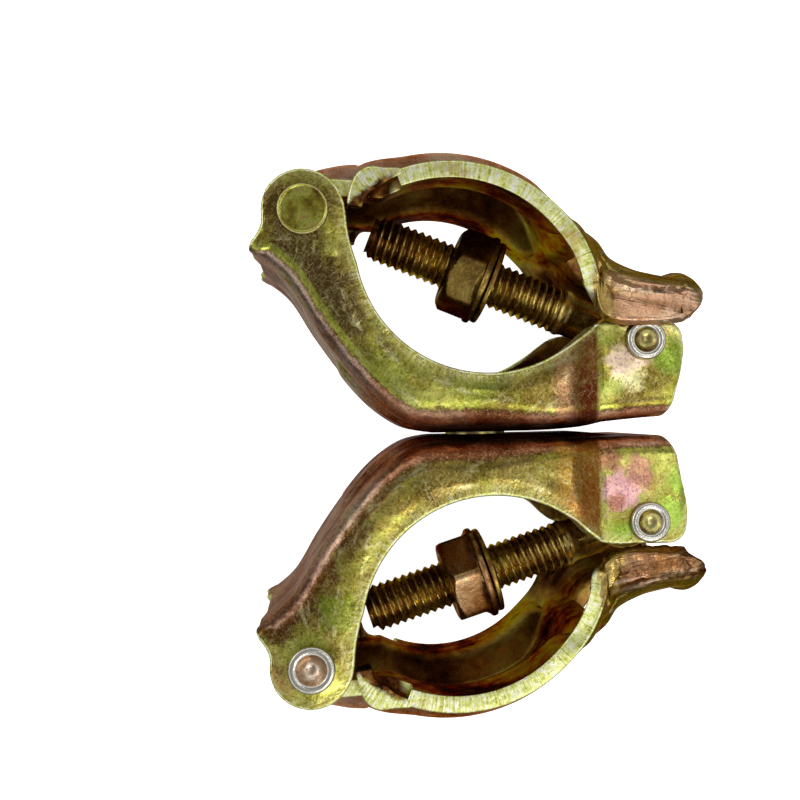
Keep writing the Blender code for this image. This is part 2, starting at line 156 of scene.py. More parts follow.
def finish_piece(obj, body, node, degrees=50):
    """Marks the sharp edges, parents the piece to what it rides on, and hides the CAD node that it stands for.
    """
    obj.data.set_sharp_from_angle(angle=math.radians(degrees))
    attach(obj, body)
    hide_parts(node)


def grid_normals(grid):
    return unit(np.cross(np.gradient(grid, axis=0), np.gradient(grid, axis=1)))


def border_loops(keep):
    """Closed loops of grid indices around the kept cells, with the cells on the left."""
    corners, beside = ((0, 0), (1, 0), (1, 1), (0, 1), (0, 0)), ((0, -1), (1, 0), (0, 1), (-1, 0))
    padded = np.pad(keep, 1)
    follow, loops = {}, []
    for i, j in np.argwhere(keep).tolist():
        for (a, b), (p, q), (r, s) in zip(beside, corners, corners[1:]):
            if not padded[i + 1 + a, j + 1 + b]:
                follow[i + p, j + q] = i + r, j + s
    while follow:
        loop = [next(iter(follow))]
        while (step := follow.pop(loop[-1])) != loop[0]:
            loop.append(step)
        loops.append(loop)
    return loops


def rim_profile(outer, inner, steps=3):
    """(outward, share of half the thickness, along the normal) from the outer face to the inner."""
    turns = np.radians(np.linspace(0, 90, steps + 1))
    top = [(outer * (math.sin(t) - 1), 1, -outer * (1 - math.cos(t))) for t in turns]
    low = [(inner * (math.sin(t) - 1), -1, inner * (1 - math.cos(t))) for t in turns[::-1]]
    middle = [(0, 1 - 2 * f, (1 - f) * top[-1][2] + f * low[0][2]) for f in (0.33, 0.67)]
    return [*top, *middle, *low]


def pressed_sheet(grid, thickness, outer_round, inner_round, keep=None, fields=None, normal=None):
    """A pressed sheet over a grid of mid-surface points: (verts, faces, kinds, fields).

    Faces of kind 0 are the outside, of kind 1 the sheared rims, and of kind 2 the inside.
    """
    rows, columns = grid.shape[:2]
    keep = np.ones((rows - 1, columns - 1), bool) if keep is None else keep
    normal = grid_normals(grid) if normal is None else normal
    used = np.zeros((rows, columns), bool)
    for a in (0, 1):
        for b in (0, 1):
            used[a:rows - 1 + a, b:columns - 1 + b] |= keep
    order = -np.ones((rows, columns), int)
    order[used] = np.arange(used.sum())
    count = int(used.sum())
    points, normals = grid[used], normal[used]
    half = np.broadcast_to(thickness, (rows, columns))[used][:, None] / 2
    outer, inner = points + normals * half, points - normals * half
    faces, kinds = [], []
    for i, j in zip(*np.nonzero(keep)):
        quad = [order[i, j], order[i + 1, j], order[i + 1, j + 1], order[i, j + 1]]
        faces += [quad, [v + count for v in reversed(quad)]]
        kinds += [0, 2]
    profile = rim_profile(outer_round, inner_round)
    extra, extra_source = [], []
    for loop in border_loops(keep):
        ids = np.array([order[i, j] for i, j in loop])
        place, up = points[ids], normals[ids]
        before = unit(place - np.roll(place, 1, 0))
        after = unit(np.roll(place, -1, 0) - place)
        out = unit(unit(np.cross(before, up)) + unit(np.cross(after, up)))
        stretch = 1 / np.maximum(np.sum(out * unit(np.cross(before, up)), 1), 0.6)
        out = out * stretch[:, None]
        rim = [place + out * reach + up * (half[ids] * share + lift) for reach, share, lift in profile]
        outer[ids] = rim[0]
        inner[ids] = rim[-1]
        starts = [ids]
        for row in rim[1:-1]:
            starts.append(2 * count + len(extra) + np.arange(len(ids)))
            extra.extend(row)
            extra_source.extend(ids)
        starts.append(ids + count)
        for low, high in zip(starts, starts[1:]):
            faces += np.stack([low, high, np.roll(high, -1), np.roll(low, -1)], 1).tolist()
            kinds += [1] * len(ids)
    verts = np.concatenate([outer, inner, np.array(extra).reshape(-1, 3)])
    source = np.concatenate([np.arange(count), np.arange(count), np.array(extra_source, int)])
    made = {name: values[used][source] for name, values in (fields or {}).items()}
    return verts, faces, kinds, made


SIDES = 64                               # of a turned piece, unless it says otherwise


def turned(rows, axis_frame=((0, 0, 0), (1, 0, 0), (0, 1, 0), (0, 0, 1)), sides=SIDES, closed=False):
    """A solid about the frame's Z from rows of (radius, height), each a number or one per side.

    A closed line of rows makes a ring, and otherwise the first and last rows end at the axis.
    """
    angles = np.linspace(0, 2 * math.pi, sides, endpoint=False)
    verts, loops = [], []
    for radius, height in rows:
        radii, heights = np.zeros(sides) + radius, np.zeros(sides) + height
        if radii.max() < 1e-6:
            loops.append([len(verts)] * sides)
            verts.append((0, 0, heights[0]))
        else:
            loops.append(list(range(len(verts), len(verts) + sides)))
            verts.extend(zip(radii * np.cos(angles), radii * np.sin(angles), heights))
    following = [*loops[1:], loops[0]] if closed else loops[1:]
    faces = [list(dict.fromkeys([low[k - 1], low[k], high[k], high[k - 1]]))
             for low, high in zip(loops, following) for k in (*range(1, sides), 0)]
    origin, x, y, z = (np.asarray(v, float) for v in axis_frame)
    v = np.asarray(verts, float)
    return origin + v[:, :1] * x + v[:, 1:2] * y + v[:, 2:] * z, faces


def turned_piece(name, rows, matrix, materials, **shape):
    verts, faces = turned(rows, **shape)
    return new_object(name, verts, faces, matrix, materials)


def rounded(profile, radius, steps=3, closed=False):
    """A (radius, height) line with its inner corners rounded."""
    points = [np.array(p, float) for p in profile]
    made = []
    count = len(points)
    for i, corner in enumerate(points):
        if not closed and i in (0, count - 1):
            made.append(corner)
            continue
        before, after = points[i - 1] - corner, points[(i + 1) % count] - corner
        reach = min(radius, np.linalg.norm(before) * 0.45, np.linalg.norm(after) * 0.45)
        a, b = corner + unit(before) * reach, corner + unit(after) * reach
        for t in np.linspace(0, 1, steps + 1):
            made.append((1 - t) ** 2 * a + 2 * t * (1 - t) * corner + t * t * b)
    return made


def ring(bore, outer, low, high, radius):
    """Rows of a flat ring with rounded corners."""
    return rounded(((bore, low), (outer, low), (outer, high), (bore, high)), radius, closed=True)


def boolean(obj, other, operation):
    """Joins or cuts obj by another object, which is then removed."""
    modifier = obj.modifiers.new(operation.lower(), "BOOLEAN")
    modifier.operation = operation
    modifier.solver = "EXACT"
    modifier.object = other
    bpy.context.view_layer.update()
    evaluated = obj.evaluated_get(bpy.context.evaluated_depsgraph_get())
    mesh = bpy.data.meshes.new_from_object(evaluated)
    obj.modifiers.clear()
    obj.data = mesh
    bpy.data.objects.remove(other, do_unlink=True)


# Pressed body

BODY_HALF_WIDTH, EAR_HALF_WIDTH = 22.5, 20.5
JOGGLE_START, JOGGLE_END = 13.6, 20.2
BEND_RADIUS = 3.8
EAR_RADIUS = 7.55                        # of the hinge ears, about the hinge
TUBE_RADIUS = 24.5
BODY_ROUNDS, STRAP_ROUNDS = (0.5, 0.3), (0.45, 0.3)    # radii of the rims, outside and inside
BACK_LEVEL = -34.6                       # the back's outer face
BACK_KEYS = ((-43.5, -1.6), (-37.4, -6.5), (-32.3, -14.6), (-26.6, -22.6), (-20.8, -29.2),
             (-14.8, -33.4), (-9.5, -34.6))
BACK_END = 33.0
BACK_RISE = {"a": 1.5, "b": -0.2}        # how far the back is bent in at the bolt end
END_LEAN = 2.0                           # the walls reach further out than the back's end
NECK_LEAN = 0.9                          # the same at the hinge end
WIDE_BEND, WIDE_BEND_AT, WIDE_BEND_SPAN = 2.8, -5.0, 13.0
END_HOLLOW = 0.7                         # at the hinge end the wall's side bows in
NECK_TIGHTER = 1.6                       # and the bend is tighter
NECK_RECESS = 1.2                        # the back's hinge end steps in, clear of the open strap's bead
LEAN_ROWS, TIGHT_ROWS, HOLLOW_ROWS, RECESS_ROWS = 14, 12, 5, 30    # sections over which these four fade
EAR_LEVEL = {"a": -15.2, "b": -14.7}     # the bolt ears' free edges
RIB_HEIGHT, RIB_EDGE, RIB_SIDE = 0.9, 9.2, 1.8
RIB_ENDS = (-27.0, 28.0)
CHEEK = ((-26.15, 6.3), (-25.75, 2.4), (-25.1, -1.0), (-24.13, -4.25))   # from hinge ear to seat
# Degrees on the seat arc, and the place of the back that each is joined to
SEAT_PAIRS = ((200, (-33.6, -12.4)), (230, (-22.9, -27.1)), (250, (-11.6, -34.4)), (270, (0, BACK_LEVEL)),
              (308, (14.2, BACK_LEVEL)))
SECTIONS = 190
END_ROWS = (slice(None, 6), slice(-5, None))    # whose wall normals are kept square to the walls
HOLE_CLEARANCE = 0.25
SWIVEL_RADIUS, HINGE_RADIUS, PIN_RADIUS = 6.0, 3.3, 2.9    # shanks in the swivel, the hinge and the bolt's eye
THROUGH = 40                             # half the length of a drill through the whole body


def back_line(side):
    curve = catmull(BACK_KEYS, 14)
    flat = np.linspace(BACK_KEYS[-1][0], BACK_END, 70)[1:]
    level = BACK_LEVEL + BACK_RISE[side] * ease(flat, 10, BACK_END + 3)
    return np.concatenate([curve, np.stack([flat, level], 1)])


def top_outline(side):
    """The free edge of a side wall, from the hinge ear's left to the bolt ear's right side."""
    ear = arc(HINGE, EAR_RADIUS, 182, 24, 36)
    cheek = catmull((ear[-1], *CHEEK), 8)
    seat = arc((0, 0), TUBE_RADIUS, 190, 308, 106)
    level = EAR_LEVEL[side]
    rise = catmull(((15.08, -19.3), (17.6, level - 2.25), (20.0, level - 0.65), (23.0, level),
                    (27.0, level)), 8)
    corner = arc((33.2, level - 3.4), 3.4, 90, 0, 12)
    end = catmull(((36.6, level - 3.4), (36.75, -20.4), (36.5, -23.0), (36.1, -25.2)), 5)
    return np.concatenate([ear, cheek[1:], seat[1:], rise[1:], corner, end[1:]])


def pairing(top, back, side):
    """Lengths along the top outline and the back line that each section joins."""
    level = EAR_LEVEL[side]
    seat = [(on_circle((0, 0), TUBE_RADIUS, angle), place) for angle, place in SEAT_PAIRS]
    pairs = [(HINGE + (-EAR_RADIUS, 0), back[0]), (HINGE + (-EAR_RADIUS, 1.0), (-42.3, -2.5)),
             (HINGE + (0, EAR_RADIUS), (-40.8, -3.7)), (CHEEK[0], (-38.6, -5.5)),
             ((-25.6, 1.6), (-37.4, -6.5)), *seat, ((20.0, level - 0.6), (19.6, BACK_LEVEL)),
             ((33.2, level), (27.6, BACK_LEVEL)), ((36.6, level - 3.4), (30.6, BACK_LEVEL)),
             ((36.15, -24.4), (32.3, BACK_LEVEL)), (top[-1], back[-1])]
    pairs = [(p, (q[0], np.interp(q[0], *back.T))) if q[0] > 15 else (p, q) for p, q in pairs]
    tops = [length_at(top, p) for p, _ in pairs]
    backs = [length_at(back, q) for _, q in pairs]
    inner = np.linspace(tops[1], tops[-2], SECTIONS)
    places = np.concatenate([[tops[0]], inner, [tops[-1]]])
    return places, np.interp(places, tops, backs)


def wall_narrowing(x):
    """Scale of Z across the joggle: a soft start and a crisp end."""
    part = np.clip((x - JOGGLE_START) / (JOGGLE_END - JOGGLE_START), 0, 1)
    drop = part * part * (1.7 - 0.7 * part)
    return 1 + (EAR_HALF_WIDTH / BODY_HALF_WIDTH - 1) * drop


def wall_relief(x, y, from_edge):
    """How far the side wall's face stands out at a place: rolled edges, a crown and the ear's crease."""
    roll = -0.45 * (1 - ease(from_edge, 0, 4.5))
    crown = 0.2 * ease(from_edge, 2, 6)
    on_ear = ease(x, JOGGLE_END - 0.3, JOGGLE_END + 0.8)
    crease_level = -29.6 + 0.24 * (x - 20.5)
    crease = 0.28 * bump(y, crease_level, 0.7) * ease(x, 20.0, 20.8) * (1 - ease(x, 27, 33))
    ridge = 0.16 * bump(x, JOGGLE_END + 0.3, 0.4) * ease(y, -31, -28)
    return (roll + crown) * (1 - 0.75 * on_ear) + crease + ridge


def body_grid(side):
    """Mid-surface grid of the body, its normals, and fields of depth from the edge and of bend."""
    top, back = top_outline(side), back_line(side)
    top_places, back_places = pairing(top, back, side)
    tops, backs = at_length(top, top_places), at_length(back, back_places)
    runs = unit(at_length(back, back_places, unit(np.gradient(back, axis=0))))
    inward = np.stack([-runs[:, 1], runs[:, 0]], 1)
    rows, depth, bend = [], [], []
    wall_steps, bend_steps, back_steps = 17, 9, 26
    for i in range(len(tops)):
        lean = END_LEAN * ease(backs[i][0], 26.0, BACK_END) - NECK_LEAN * (1 - ease(i, 0, LEAN_ROWS))
        bend_radius = BEND_RADIUS + WIDE_BEND * bump(backs[i][0], WIDE_BEND_AT, WIDE_BEND_SPAN)
        bend_radius -= NECK_TIGHTER * (1 - ease(i, 0, TIGHT_ROWS))
        mid_bend = bend_radius - SHEET / 2
        foot = backs[i] + inward[i] * bend_radius + np.array([lean, 0])
        span = np.linalg.norm(tops[i] - foot)
        reach = np.concatenate([[0, 0.9 / span], np.linspace(0.9 / span, 1, wall_steps)[1:]])
        wall = tops[i] + (foot - tops[i]) * reach[:, None]
        wall[:, 0] += END_HOLLOW * bump(i, 0, HOLLOW_ROWS) * reach * (1 - reach) * 4
        turns = np.radians(np.linspace(0, 90, bend_steps + 1))[1:]
        bends = [foot - inward[i] * mid_bend * math.sin(t)
                 - np.array([lean * (0.5 + 0.5 * math.sin(t) - 0.5 * math.cos(t)), 0]) for t in turns]
        z_wall = np.full(len(wall), BODY_HALF_WIDTH - SHEET / 2)
        z_wall += wall_relief(wall[:, 0], wall[:, 1], reach * span) * ease(1 - reach, 0, 0.25)
        z_bend = BODY_HALF_WIDTH - bend_radius + mid_bend * np.cos(turns)
        z_back = np.linspace(z_bend[-1], 0, back_steps)[1:]
        plane = np.concatenate([wall, bends, np.repeat([bends[-1]], len(z_back), 0)])
        z = np.concatenate([z_wall, z_bend, z_back])
        rib = RIB_HEIGHT * ease(RIB_EDGE - z, 0, RIB_SIDE)
        rib *= ease(plane[:, 0], RIB_ENDS[0], RIB_ENDS[0] + 2.5)
        rib *= ease(-plane[:, 0], -RIB_ENDS[1], 9 - RIB_ENDS[1])
        recess = NECK_RECESS * (1 - ease(i, 0, RECESS_ROWS)) * ease(13 - z, 0, 4)
        plane = plane - inward[i] * rib[:, None] + runs[i] * recess[:, None]
        z = z * wall_narrowing(plane[:, 0])
        half = np.column_stack([plane, z])
        rows.append(np.concatenate([half[:-1] * (1, 1, -1), half[::-1]]))
        bent = np.concatenate([np.zeros(len(wall)), np.sin(turns), np.ones(len(z_back))])
        deep = np.concatenate([reach * span, span + mid_bend * turns, np.full(len(z_back), 20.0)])
        depth.append(np.concatenate([deep[:-1], deep[::-1]]))
        bend.append(np.concatenate([bent[:-1], bent[::-1]]))
    grid = np.array(rows)
    normal = grid_normals(grid)
    for end in END_ROWS:
        normal[end, :wall_steps] = (0, 0, -1)
        normal[end, -wall_steps:] = (0, 0, 1)
    return grid, normal, {"depth": np.array(depth), "bend": np.array(bend)}


def drill(obj, radius, length, matrix):
    """Cuts a round hole along Z of a frame."""
    rows = ((0, -length), (radius, -length), (radius, length), (0, length))
    boolean(obj, turned_piece("plug", rows, matrix, []), "DIFFERENCE")


def make_body(side, seed):
    matrix = half_matrix(side)
    materials = [body_outside(side), sheared_edge("body_sheared_edge_" + side, seed, (0, 0)),
                 inside("body_inside_shade_" + side, seed)]
    grid, normal, fields = body_grid(side)
    verts, faces, kinds, made = pressed_sheet(grid, SHEET, *BODY_ROUNDS, fields=fields, normal=normal)
    body = new_object("pressed_body_" + side, verts, faces, matrix, materials, kinds, made)
    swivel = across(matrix, (0, -SWIVEL_OFFSET)) @ Matrix.Rotation(math.pi / 2, 4, "X")
    drill(body, SWIVEL_RADIUS + HOLE_CLEARANCE, 12, swivel)
    drill(body, PIN_RADIUS + HOLE_CLEARANCE, THROUGH, across(matrix, PIN))
    drill(body, HINGE_RADIUS + HOLE_CLEARANCE, THROUGH, across(matrix, HINGE))
    finish_piece(body, "half_" + side, "body_" + side)


# Hinged strap

FLAP_CENTRE = np.array((-6.95, -13.6))    # of the strap's arc
STRAP_RADIUS = 24.96 + SHEET / 2
BEAD_HEIGHT = 5.3
STRAP_EDGE, NECK_HALF_WIDTH, SLOT_HALF_WIDTH = 22.3, 18.6, 5.3
STRAP_START, STRAP_CUT = 118, 110.6      # degrees where the bead and where the wide edges begin
STRAP_ENDS = (33, 13)                    # degrees, at the bead and at the edges
KNUCKLE_MID = 5.3                        # mid-surface radius of the knuckle about the hinge
# How high the bead stands along the neck, as (part, millimetres)
NECK_RISE = ((0, 1.4), (0.1, 3.4), (0.2, 4.4), (0.6, 5.5), (1, 6.0))
NECK_SLANT = 3.2                         # how far back the bead lies on the neck's last station
START_RISE = 1.4                         # the bead stands higher at its start
SLOT_START = 21.5                        # beyond it the tail is forked
TAIL_TOP = ((21.4, 0.6), (24, -2.9), (28.8, -5.4), (33, -6.6), (36.4, -7.2), (37.6, -7.0),
            (38.8, -6.5), (40, -6.6), (41.1, -7.5), (41.7, -8.9))
TAIL_EDGE = ((19.6, -10.6), (20.8, -13.0), (23.8, -14.3), (28.5, -14.5), (33, -14.3), (35.4, -14.0),
             (37.4, -13.5), (39.2, -12.8), (40.6, -12.0), (41.5, -11.1))
TAIL_HALF_WIDTH = (20.9, 21.0, 21.0, 21.0, 20.8, 20.4, 19.9, 19.1, 18.2, 17.3)
SHOULDER = ((0, 0), (0.25, 0), (0.5, 0.015), (0.66, 0.08), (0.8, 0.22), (0.9, 0.42), (0.97, 0.7), (1, 1))
SKIRT_FLARE, SKIRT_DROP, SKIRT_SHEET = 2.0, 1.3, 1.9
BLEND_STATIONS = 11                      # over which the bead turns into the tail's shoulder
TIP_START, TIP_LENGTH = 34.0, {"a": 0.89, "b": 0.78}
FLAP_TILT = {"a": 0.0, "b": 0.7}         # degrees that each strap rests open


def flap_columns():
    """Shares of the half width, as (inner millimetres, outer part), from +Z to -Z."""
    inner = [(z, 0.0) for z in np.linspace(0, SLOT_HALF_WIDTH, 7)]
    neck = (NECK_HALF_WIDTH - SLOT_HALF_WIDTH) / (STRAP_EDGE - SLOT_HALF_WIDTH)
    outer = [(SLOT_HALF_WIDTH, f) for f in (*np.linspace(0, neck, 18)[1:], *np.linspace(neck, 1, 7)[1:])]
    side = np.array([*inner, *outer])
    return np.concatenate([side[::-1], side[1:]]), len(side) - 1


def flap_rows():
    """Stations of (bead point, edge point) of the knuckle, the neck and the strap."""
    knuckle = [(p, p) for p in arc(HINGE, KNUCKLE_MID, 372, 76, 30)]
    start = np.array(knuckle[-1][0])
    strap_start = on_circle(FLAP_CENTRE, STRAP_RADIUS, STRAP_START)
    run = unit(strap_start - start)
    out = np.array((-run[1], run[0]))
    neck = []
    for part in (0.1, 0.2, 0.3, 0.42, 0.55, 0.7, 0.85):
        edge = start + (strap_start - start) * part
        rise = np.interp(part, *np.array(NECK_RISE).T)
        neck.append((edge + out * rise - run * NECK_SLANT * part, edge))
    strap = []
    for angle in (STRAP_START, 114.3, STRAP_CUT, *np.linspace(108, STRAP_ENDS[1], 30)):
        part = (STRAP_START - angle) / (STRAP_START - STRAP_ENDS[1])
        bead = STRAP_START + (STRAP_ENDS[0] - STRAP_START) * part
        rise = BEAD_HEIGHT * (1 - 0.4 * ease(part, 0.7, 1)) + START_RISE * (1 - ease(part, 0, 0.2))
        strap.append((on_circle(FLAP_CENTRE, STRAP_RADIUS + rise, bead),
                      on_circle(FLAP_CENTRE, STRAP_RADIUS, angle)))
    return knuckle, neck, strap


def flap_grid(side):
    """Mid-surface grid of the strap, the cells that are kept, and the tail's first row."""
    columns, middle = flap_columns()
    knuckle, neck, strap = flap_rows()
    stations = (*knuckle, *neck, *strap)
    z = columns[:, 0] + (STRAP_EDGE - SLOT_HALF_WIDTH) * columns[:, 1]
    shoulder = 1 - np.interp(z / STRAP_EDGE, *np.array(SHOULDER).T)
    rows = []
    for i, (bead, edge) in enumerate(stations):
        late = ease(i, len(stations) - BLEND_STATIONS, len(stations) - 1)
        lift = ease(14 - z, 0, 8.5) * (1 - late) + shoulder * late
        plane = np.asarray(edge) + (np.asarray(bead) - edge) * lift[:, None]
        rows.append(np.column_stack([plane, z]))
    tail = []
    for top, edge, half_width in zip(TAIL_TOP, TAIL_EDGE, TAIL_HALF_WIDTH):
        tail_z = columns[:, 0] + (half_width - SLOT_HALF_WIDTH) * columns[:, 1]
        share = np.interp(tail_z / half_width, *np.array(SHOULDER).T)
        plane = np.asarray(top) + (np.asarray(edge) - top) * share[:, None]
        tail.append(np.column_stack([plane, tail_z]))
    tail = catmull([rows[-1], *tail], 7)[1:]
    cut = len(knuckle) + len(neck) + 2
    slot = len(rows) + next(k for k, row in enumerate(tail) if row[middle][0] > SLOT_START)
    grid = np.array([*rows, *tail])
    grid[:, middle + 1:, 2] *= -1
    tip = np.maximum(grid[..., 0] - TIP_START, 0)
    grid[..., 0] -= tip * (1 - TIP_LENGTH[side])
    keep = np.ones((len(grid) - 1, len(columns) - 1), bool)
    middles = (z[:-1] + z[1:]) / 2
    keep[:cut, middles > NECK_HALF_WIDTH] = False
    keep[slot:, middles < SLOT_HALF_WIDTH] = False
    return grid, keep, len(rows)


def shape_skirt(grid, first_tail_row):
    """Crinkles of the tail's skirts, and the lower flared lip of the +Z side; also the thickness."""
    middle = grid.shape[1] // 2
    share = np.arange(len(grid)) - first_tail_row
    tail = ease(share, 0, 8)[:, None]
    along = np.clip(share / (len(grid) - first_tail_row), 0, 1)[:, None]
    drop = np.zeros(grid.shape[:2])
    edge_y = grid[:, [0, -1], 1]
    for side, columns_of in ((0, slice(0, middle)), (1, slice(middle + 1, None))):
        top = grid[:, middle, 1:2]
        fall = (top - grid[:, columns_of, 1]) / np.maximum(top - edge_y[:, side:side + 1], 1e-6)
        drop[:, columns_of] = np.clip(fall, 0, 1)
    level = 0.58 + 0.22 * along
    x = grid[..., 0]
    groove = -0.75 * bump(drop, level, 0.06) + 0.4 * bump(drop, level - 0.13, 0.05)
    groove += -0.35 * bump(drop, level - 0.26, 0.05) + 0.25 * bump(drop, level + 0.12, 0.04)
    crinkle = 0.2 * np.sin(x * 1.9 + 7 * drop) * bump(drop, 0.72, 0.22)
    crinkle += 0.16 * np.sin(x * 3.7 - 9 * drop + 1) * bump(drop, 0.6, 0.2)
    lip = 0.35 * bump(drop, 0.93, 0.05)
    shaped = tail * (1 - ease(along, 0.6, 0.85))
    grid = grid + grid_normals(grid) * (shaped * (groove + crinkle + lip))[..., None]
    front = np.zeros_like(drop)
    front[:, :middle] = ease(drop[:, :middle], 0.55, 1.0)
    reach = tail * front * (1 - ease(along, 0.75, 1.0))
    grid[..., 1] -= SKIRT_DROP * reach
    grid[..., 2] += SKIRT_FLARE * reach
    return grid, SHEET - (SHEET - SKIRT_SHEET) * reach


LOBE_OUTER = ((-25.7, 6.6), (-25.5, 8.2), (-24.7, 10.6), (-23.5, 12.5), (-21.6, 13.5), (-18.7, 13.3),
              (-15.9, 13.3))
LOBE_INNER = ((-23.0, 5.9), (-22.7, 7.1), (-22.0, 8.2), (-21.2, 8.8), (-20.2, 9.3), (-18.4, 10.7),
              (-15.9, 11.9))
LOBE_ENDS = (22.4, 17.0)
PLATED_RIM_START, SLOT_RIM_END = 19.6, 12.0    # beyond PLATED_RIM_START the rims are plated like the faces, except the slot's rims within SLOT_RIM_END of the middle, which take the inside's painted shade


def lobe_mesh(sign):
    """The thick tab that curls from the strap's start down over the hinge ear."""
    outer, inner = catmull(LOBE_OUTER, 5), catmull(LOBE_INNER, 5)
    levels = np.linspace(*LOBE_ENDS, 8)
    middle, size = (outer + inner) / 2, np.linalg.norm(outer - inner, axis=1)
    grid = np.array([[(*p, z * sign) for z in levels[::sign]] for p in middle])
    thickness = np.repeat(size[:, None], len(levels), 1)
    return pressed_sheet(grid, thickness, *STRAP_ROUNDS)[:3]


def make_flap(side, seed):
    grid, keep, first_tail_row = flap_grid(side)
    grid, thickness = shape_skirt(grid, first_tail_row)
    turn = Matrix.Rotation(math.radians(FLAP_TILT[side]), 4, "Z")
    matrix = across(across(half_matrix(side), HINGE) @ turn, -HINGE)
    verts, faces, kinds, _ = pressed_sheet(grid, thickness, *STRAP_ROUNDS, keep)
    # Rims past PLATED_RIM_START: the outer ones get the outside plate, and the slot's rims get the inside
    # material as painted shade.
    kinds = [(0 if abs(verts[face[0]][2]) > SLOT_RIM_END else 2) if kind == 1
             and verts[face[0]][0] > PLATED_RIM_START else kind for kind, face in zip(kinds, faces)]
    for sign in (1, -1):
        more, more_faces, more_kinds = lobe_mesh(sign)
        faces = [*faces, *([v + len(verts) for v in face] for face in more_faces)]
        verts, kinds = np.concatenate([verts, more]), [*kinds, *more_kinds]
    materials = [strap_outside(side), sheared_edge("strap_sheared_edge_" + side, seed + 4, FLAP_CENTRE),
                 inside("strap_inside_shade_" + side, seed + 4)]
    flap = new_object("pressed_strap_" + side, verts, faces, matrix, materials, kinds)
    finish_piece(flap, "strap_" + side, "flap_" + side)


# Bolt, washer and nut: along +X of the bolt's frame, +Y towards the body

BOLT_LENGTH, BOLT_SIDE_STEP = 55.0, 2.4
STORED_ANGLE = {"a": 22.6, "b": 17.2}    # degrees between the stored bolt and -X
NUT_STATION = {"a": 28.6, "b": 28.8}     # pivot to the washer's near face
NUT_SIDES, SWIVEL_SIDES = 144, 72
HEX_TURN = {"a": 11.0, "b": 12.5}        # degrees that the hexagon is turned
HEX_HALF, HEX_CORNER, FLANGE_RADIUS, NUT_HEIGHT = 7.9, 8.98, 9.2, 7.8
FLANGE_EDGE = ((0.4, 0), (0.1, 0.15), (0, 0.45), (0, 0.9), (0.15, 1.2), (0.5, 1.4))    # (inset, height)
FLAT_HEAD = ((4.6, 0), (4.72, 0.1), (4.72, 0.45), (4.62, 0.74), (4.4, 0.86), (4.22, 0.74), (4.1, 0.62),
             (3.8, 0.62), (2.0, 0.62), (0, 0.62))                                   # (radius, height)
WASHER_SHEET, SWIVEL_WASHER, PLAY = 1.1, 1.6, 0.3    # sheet of both washers, and the gap beside one
WASHER_RADIUS = 8.6
PITCH, CREST, ROOT = 1.5875, 4.75, 3.95    # of the thread
THREAD_START = 12.5
EYE_RADIUS, EYE_HALF = 7.0, 5.0
SHANK = ((0, -BOLT_SIDE_STEP, 0), (0, 1, 0), (0, 0, 1), (1, 0, 0))


def bolt_matrix(side):
    return across(half_matrix(side), PIN) @ Matrix.Rotation(math.pi - math.radians(STORED_ANGLE[side]), 4, "Z")


def screw_rows(start, end):
    """Rows of a right-handed thread with rounded crests that runs out at both ends."""
    turns = np.arange(SIDES) / SIDES
    rows = []
    for x in np.arange(start, end + 1e-6, PITCH / 9):
        wave = np.arcsin(0.96 * np.cos(2 * math.pi * (x / PITCH - turns))) / (math.pi / 2)
        depth = (CREST - ROOT) * ease(x, start, start + 2.5)
        tip = 0.9 * ease(x, end - 1.3, end)
        rows.append((CREST - depth * (0.5 - 0.5 * wave) - tip, x))
    return rows


def make_eye_bolt(side, seed):
    """A threaded shank growing out of a flat round eye on the pin."""
    rows = [(0, 4.0), (3.2, 4.0), (4.3, 6.0), (4.3, 11.3), (4.55, 12.2)]
    rows += screw_rows(THREAD_START, BOLT_LENGTH - 0.4)
    rows += [(ROOT - 0.3, BOLT_LENGTH), (0, BOLT_LENGTH)]
    # e4cc78 is a painted highlight on the thread's crests.
    matrix, materials = bolt_matrix(side), [fastener("threaded_steel_" + side, seed, BROWN_GOLD, "e4cc78")]
    bolt = turned_piece("threaded_eye_bolt_" + side, rows, matrix, materials, axis_frame=SHANK)
    eye = rounded(((0, -EYE_HALF), (EYE_RADIUS, -EYE_HALF), (EYE_RADIUS, EYE_HALF), (0, EYE_HALF)), 1.6, 5)
    boolean(bolt, turned_piece("eye", eye, matrix, materials), "UNION")
    drill(bolt, PIN_RADIUS + HOLE_CLEARANCE, 20, matrix)
    finish_piece(bolt, "bolt_" + side, "eye_bolt_" + side)


def make_washer(side, seed):
    start = NUT_STATION[side]
    rows = ring(CREST + 0.3, WASHER_RADIUS, start, start + WASHER_SHEET, 0.35)
    materials = [fastener("nut_washer_steel_" + side, seed + 1, BROWN_GOLD)]
    washer = turned_piece("nut_spring_washer_" + side, rows, bolt_matrix(side), materials,
                          axis_frame=SHANK, closed=True)
    finish_piece(washer, "washer_" + side, "nut_washer_" + side)


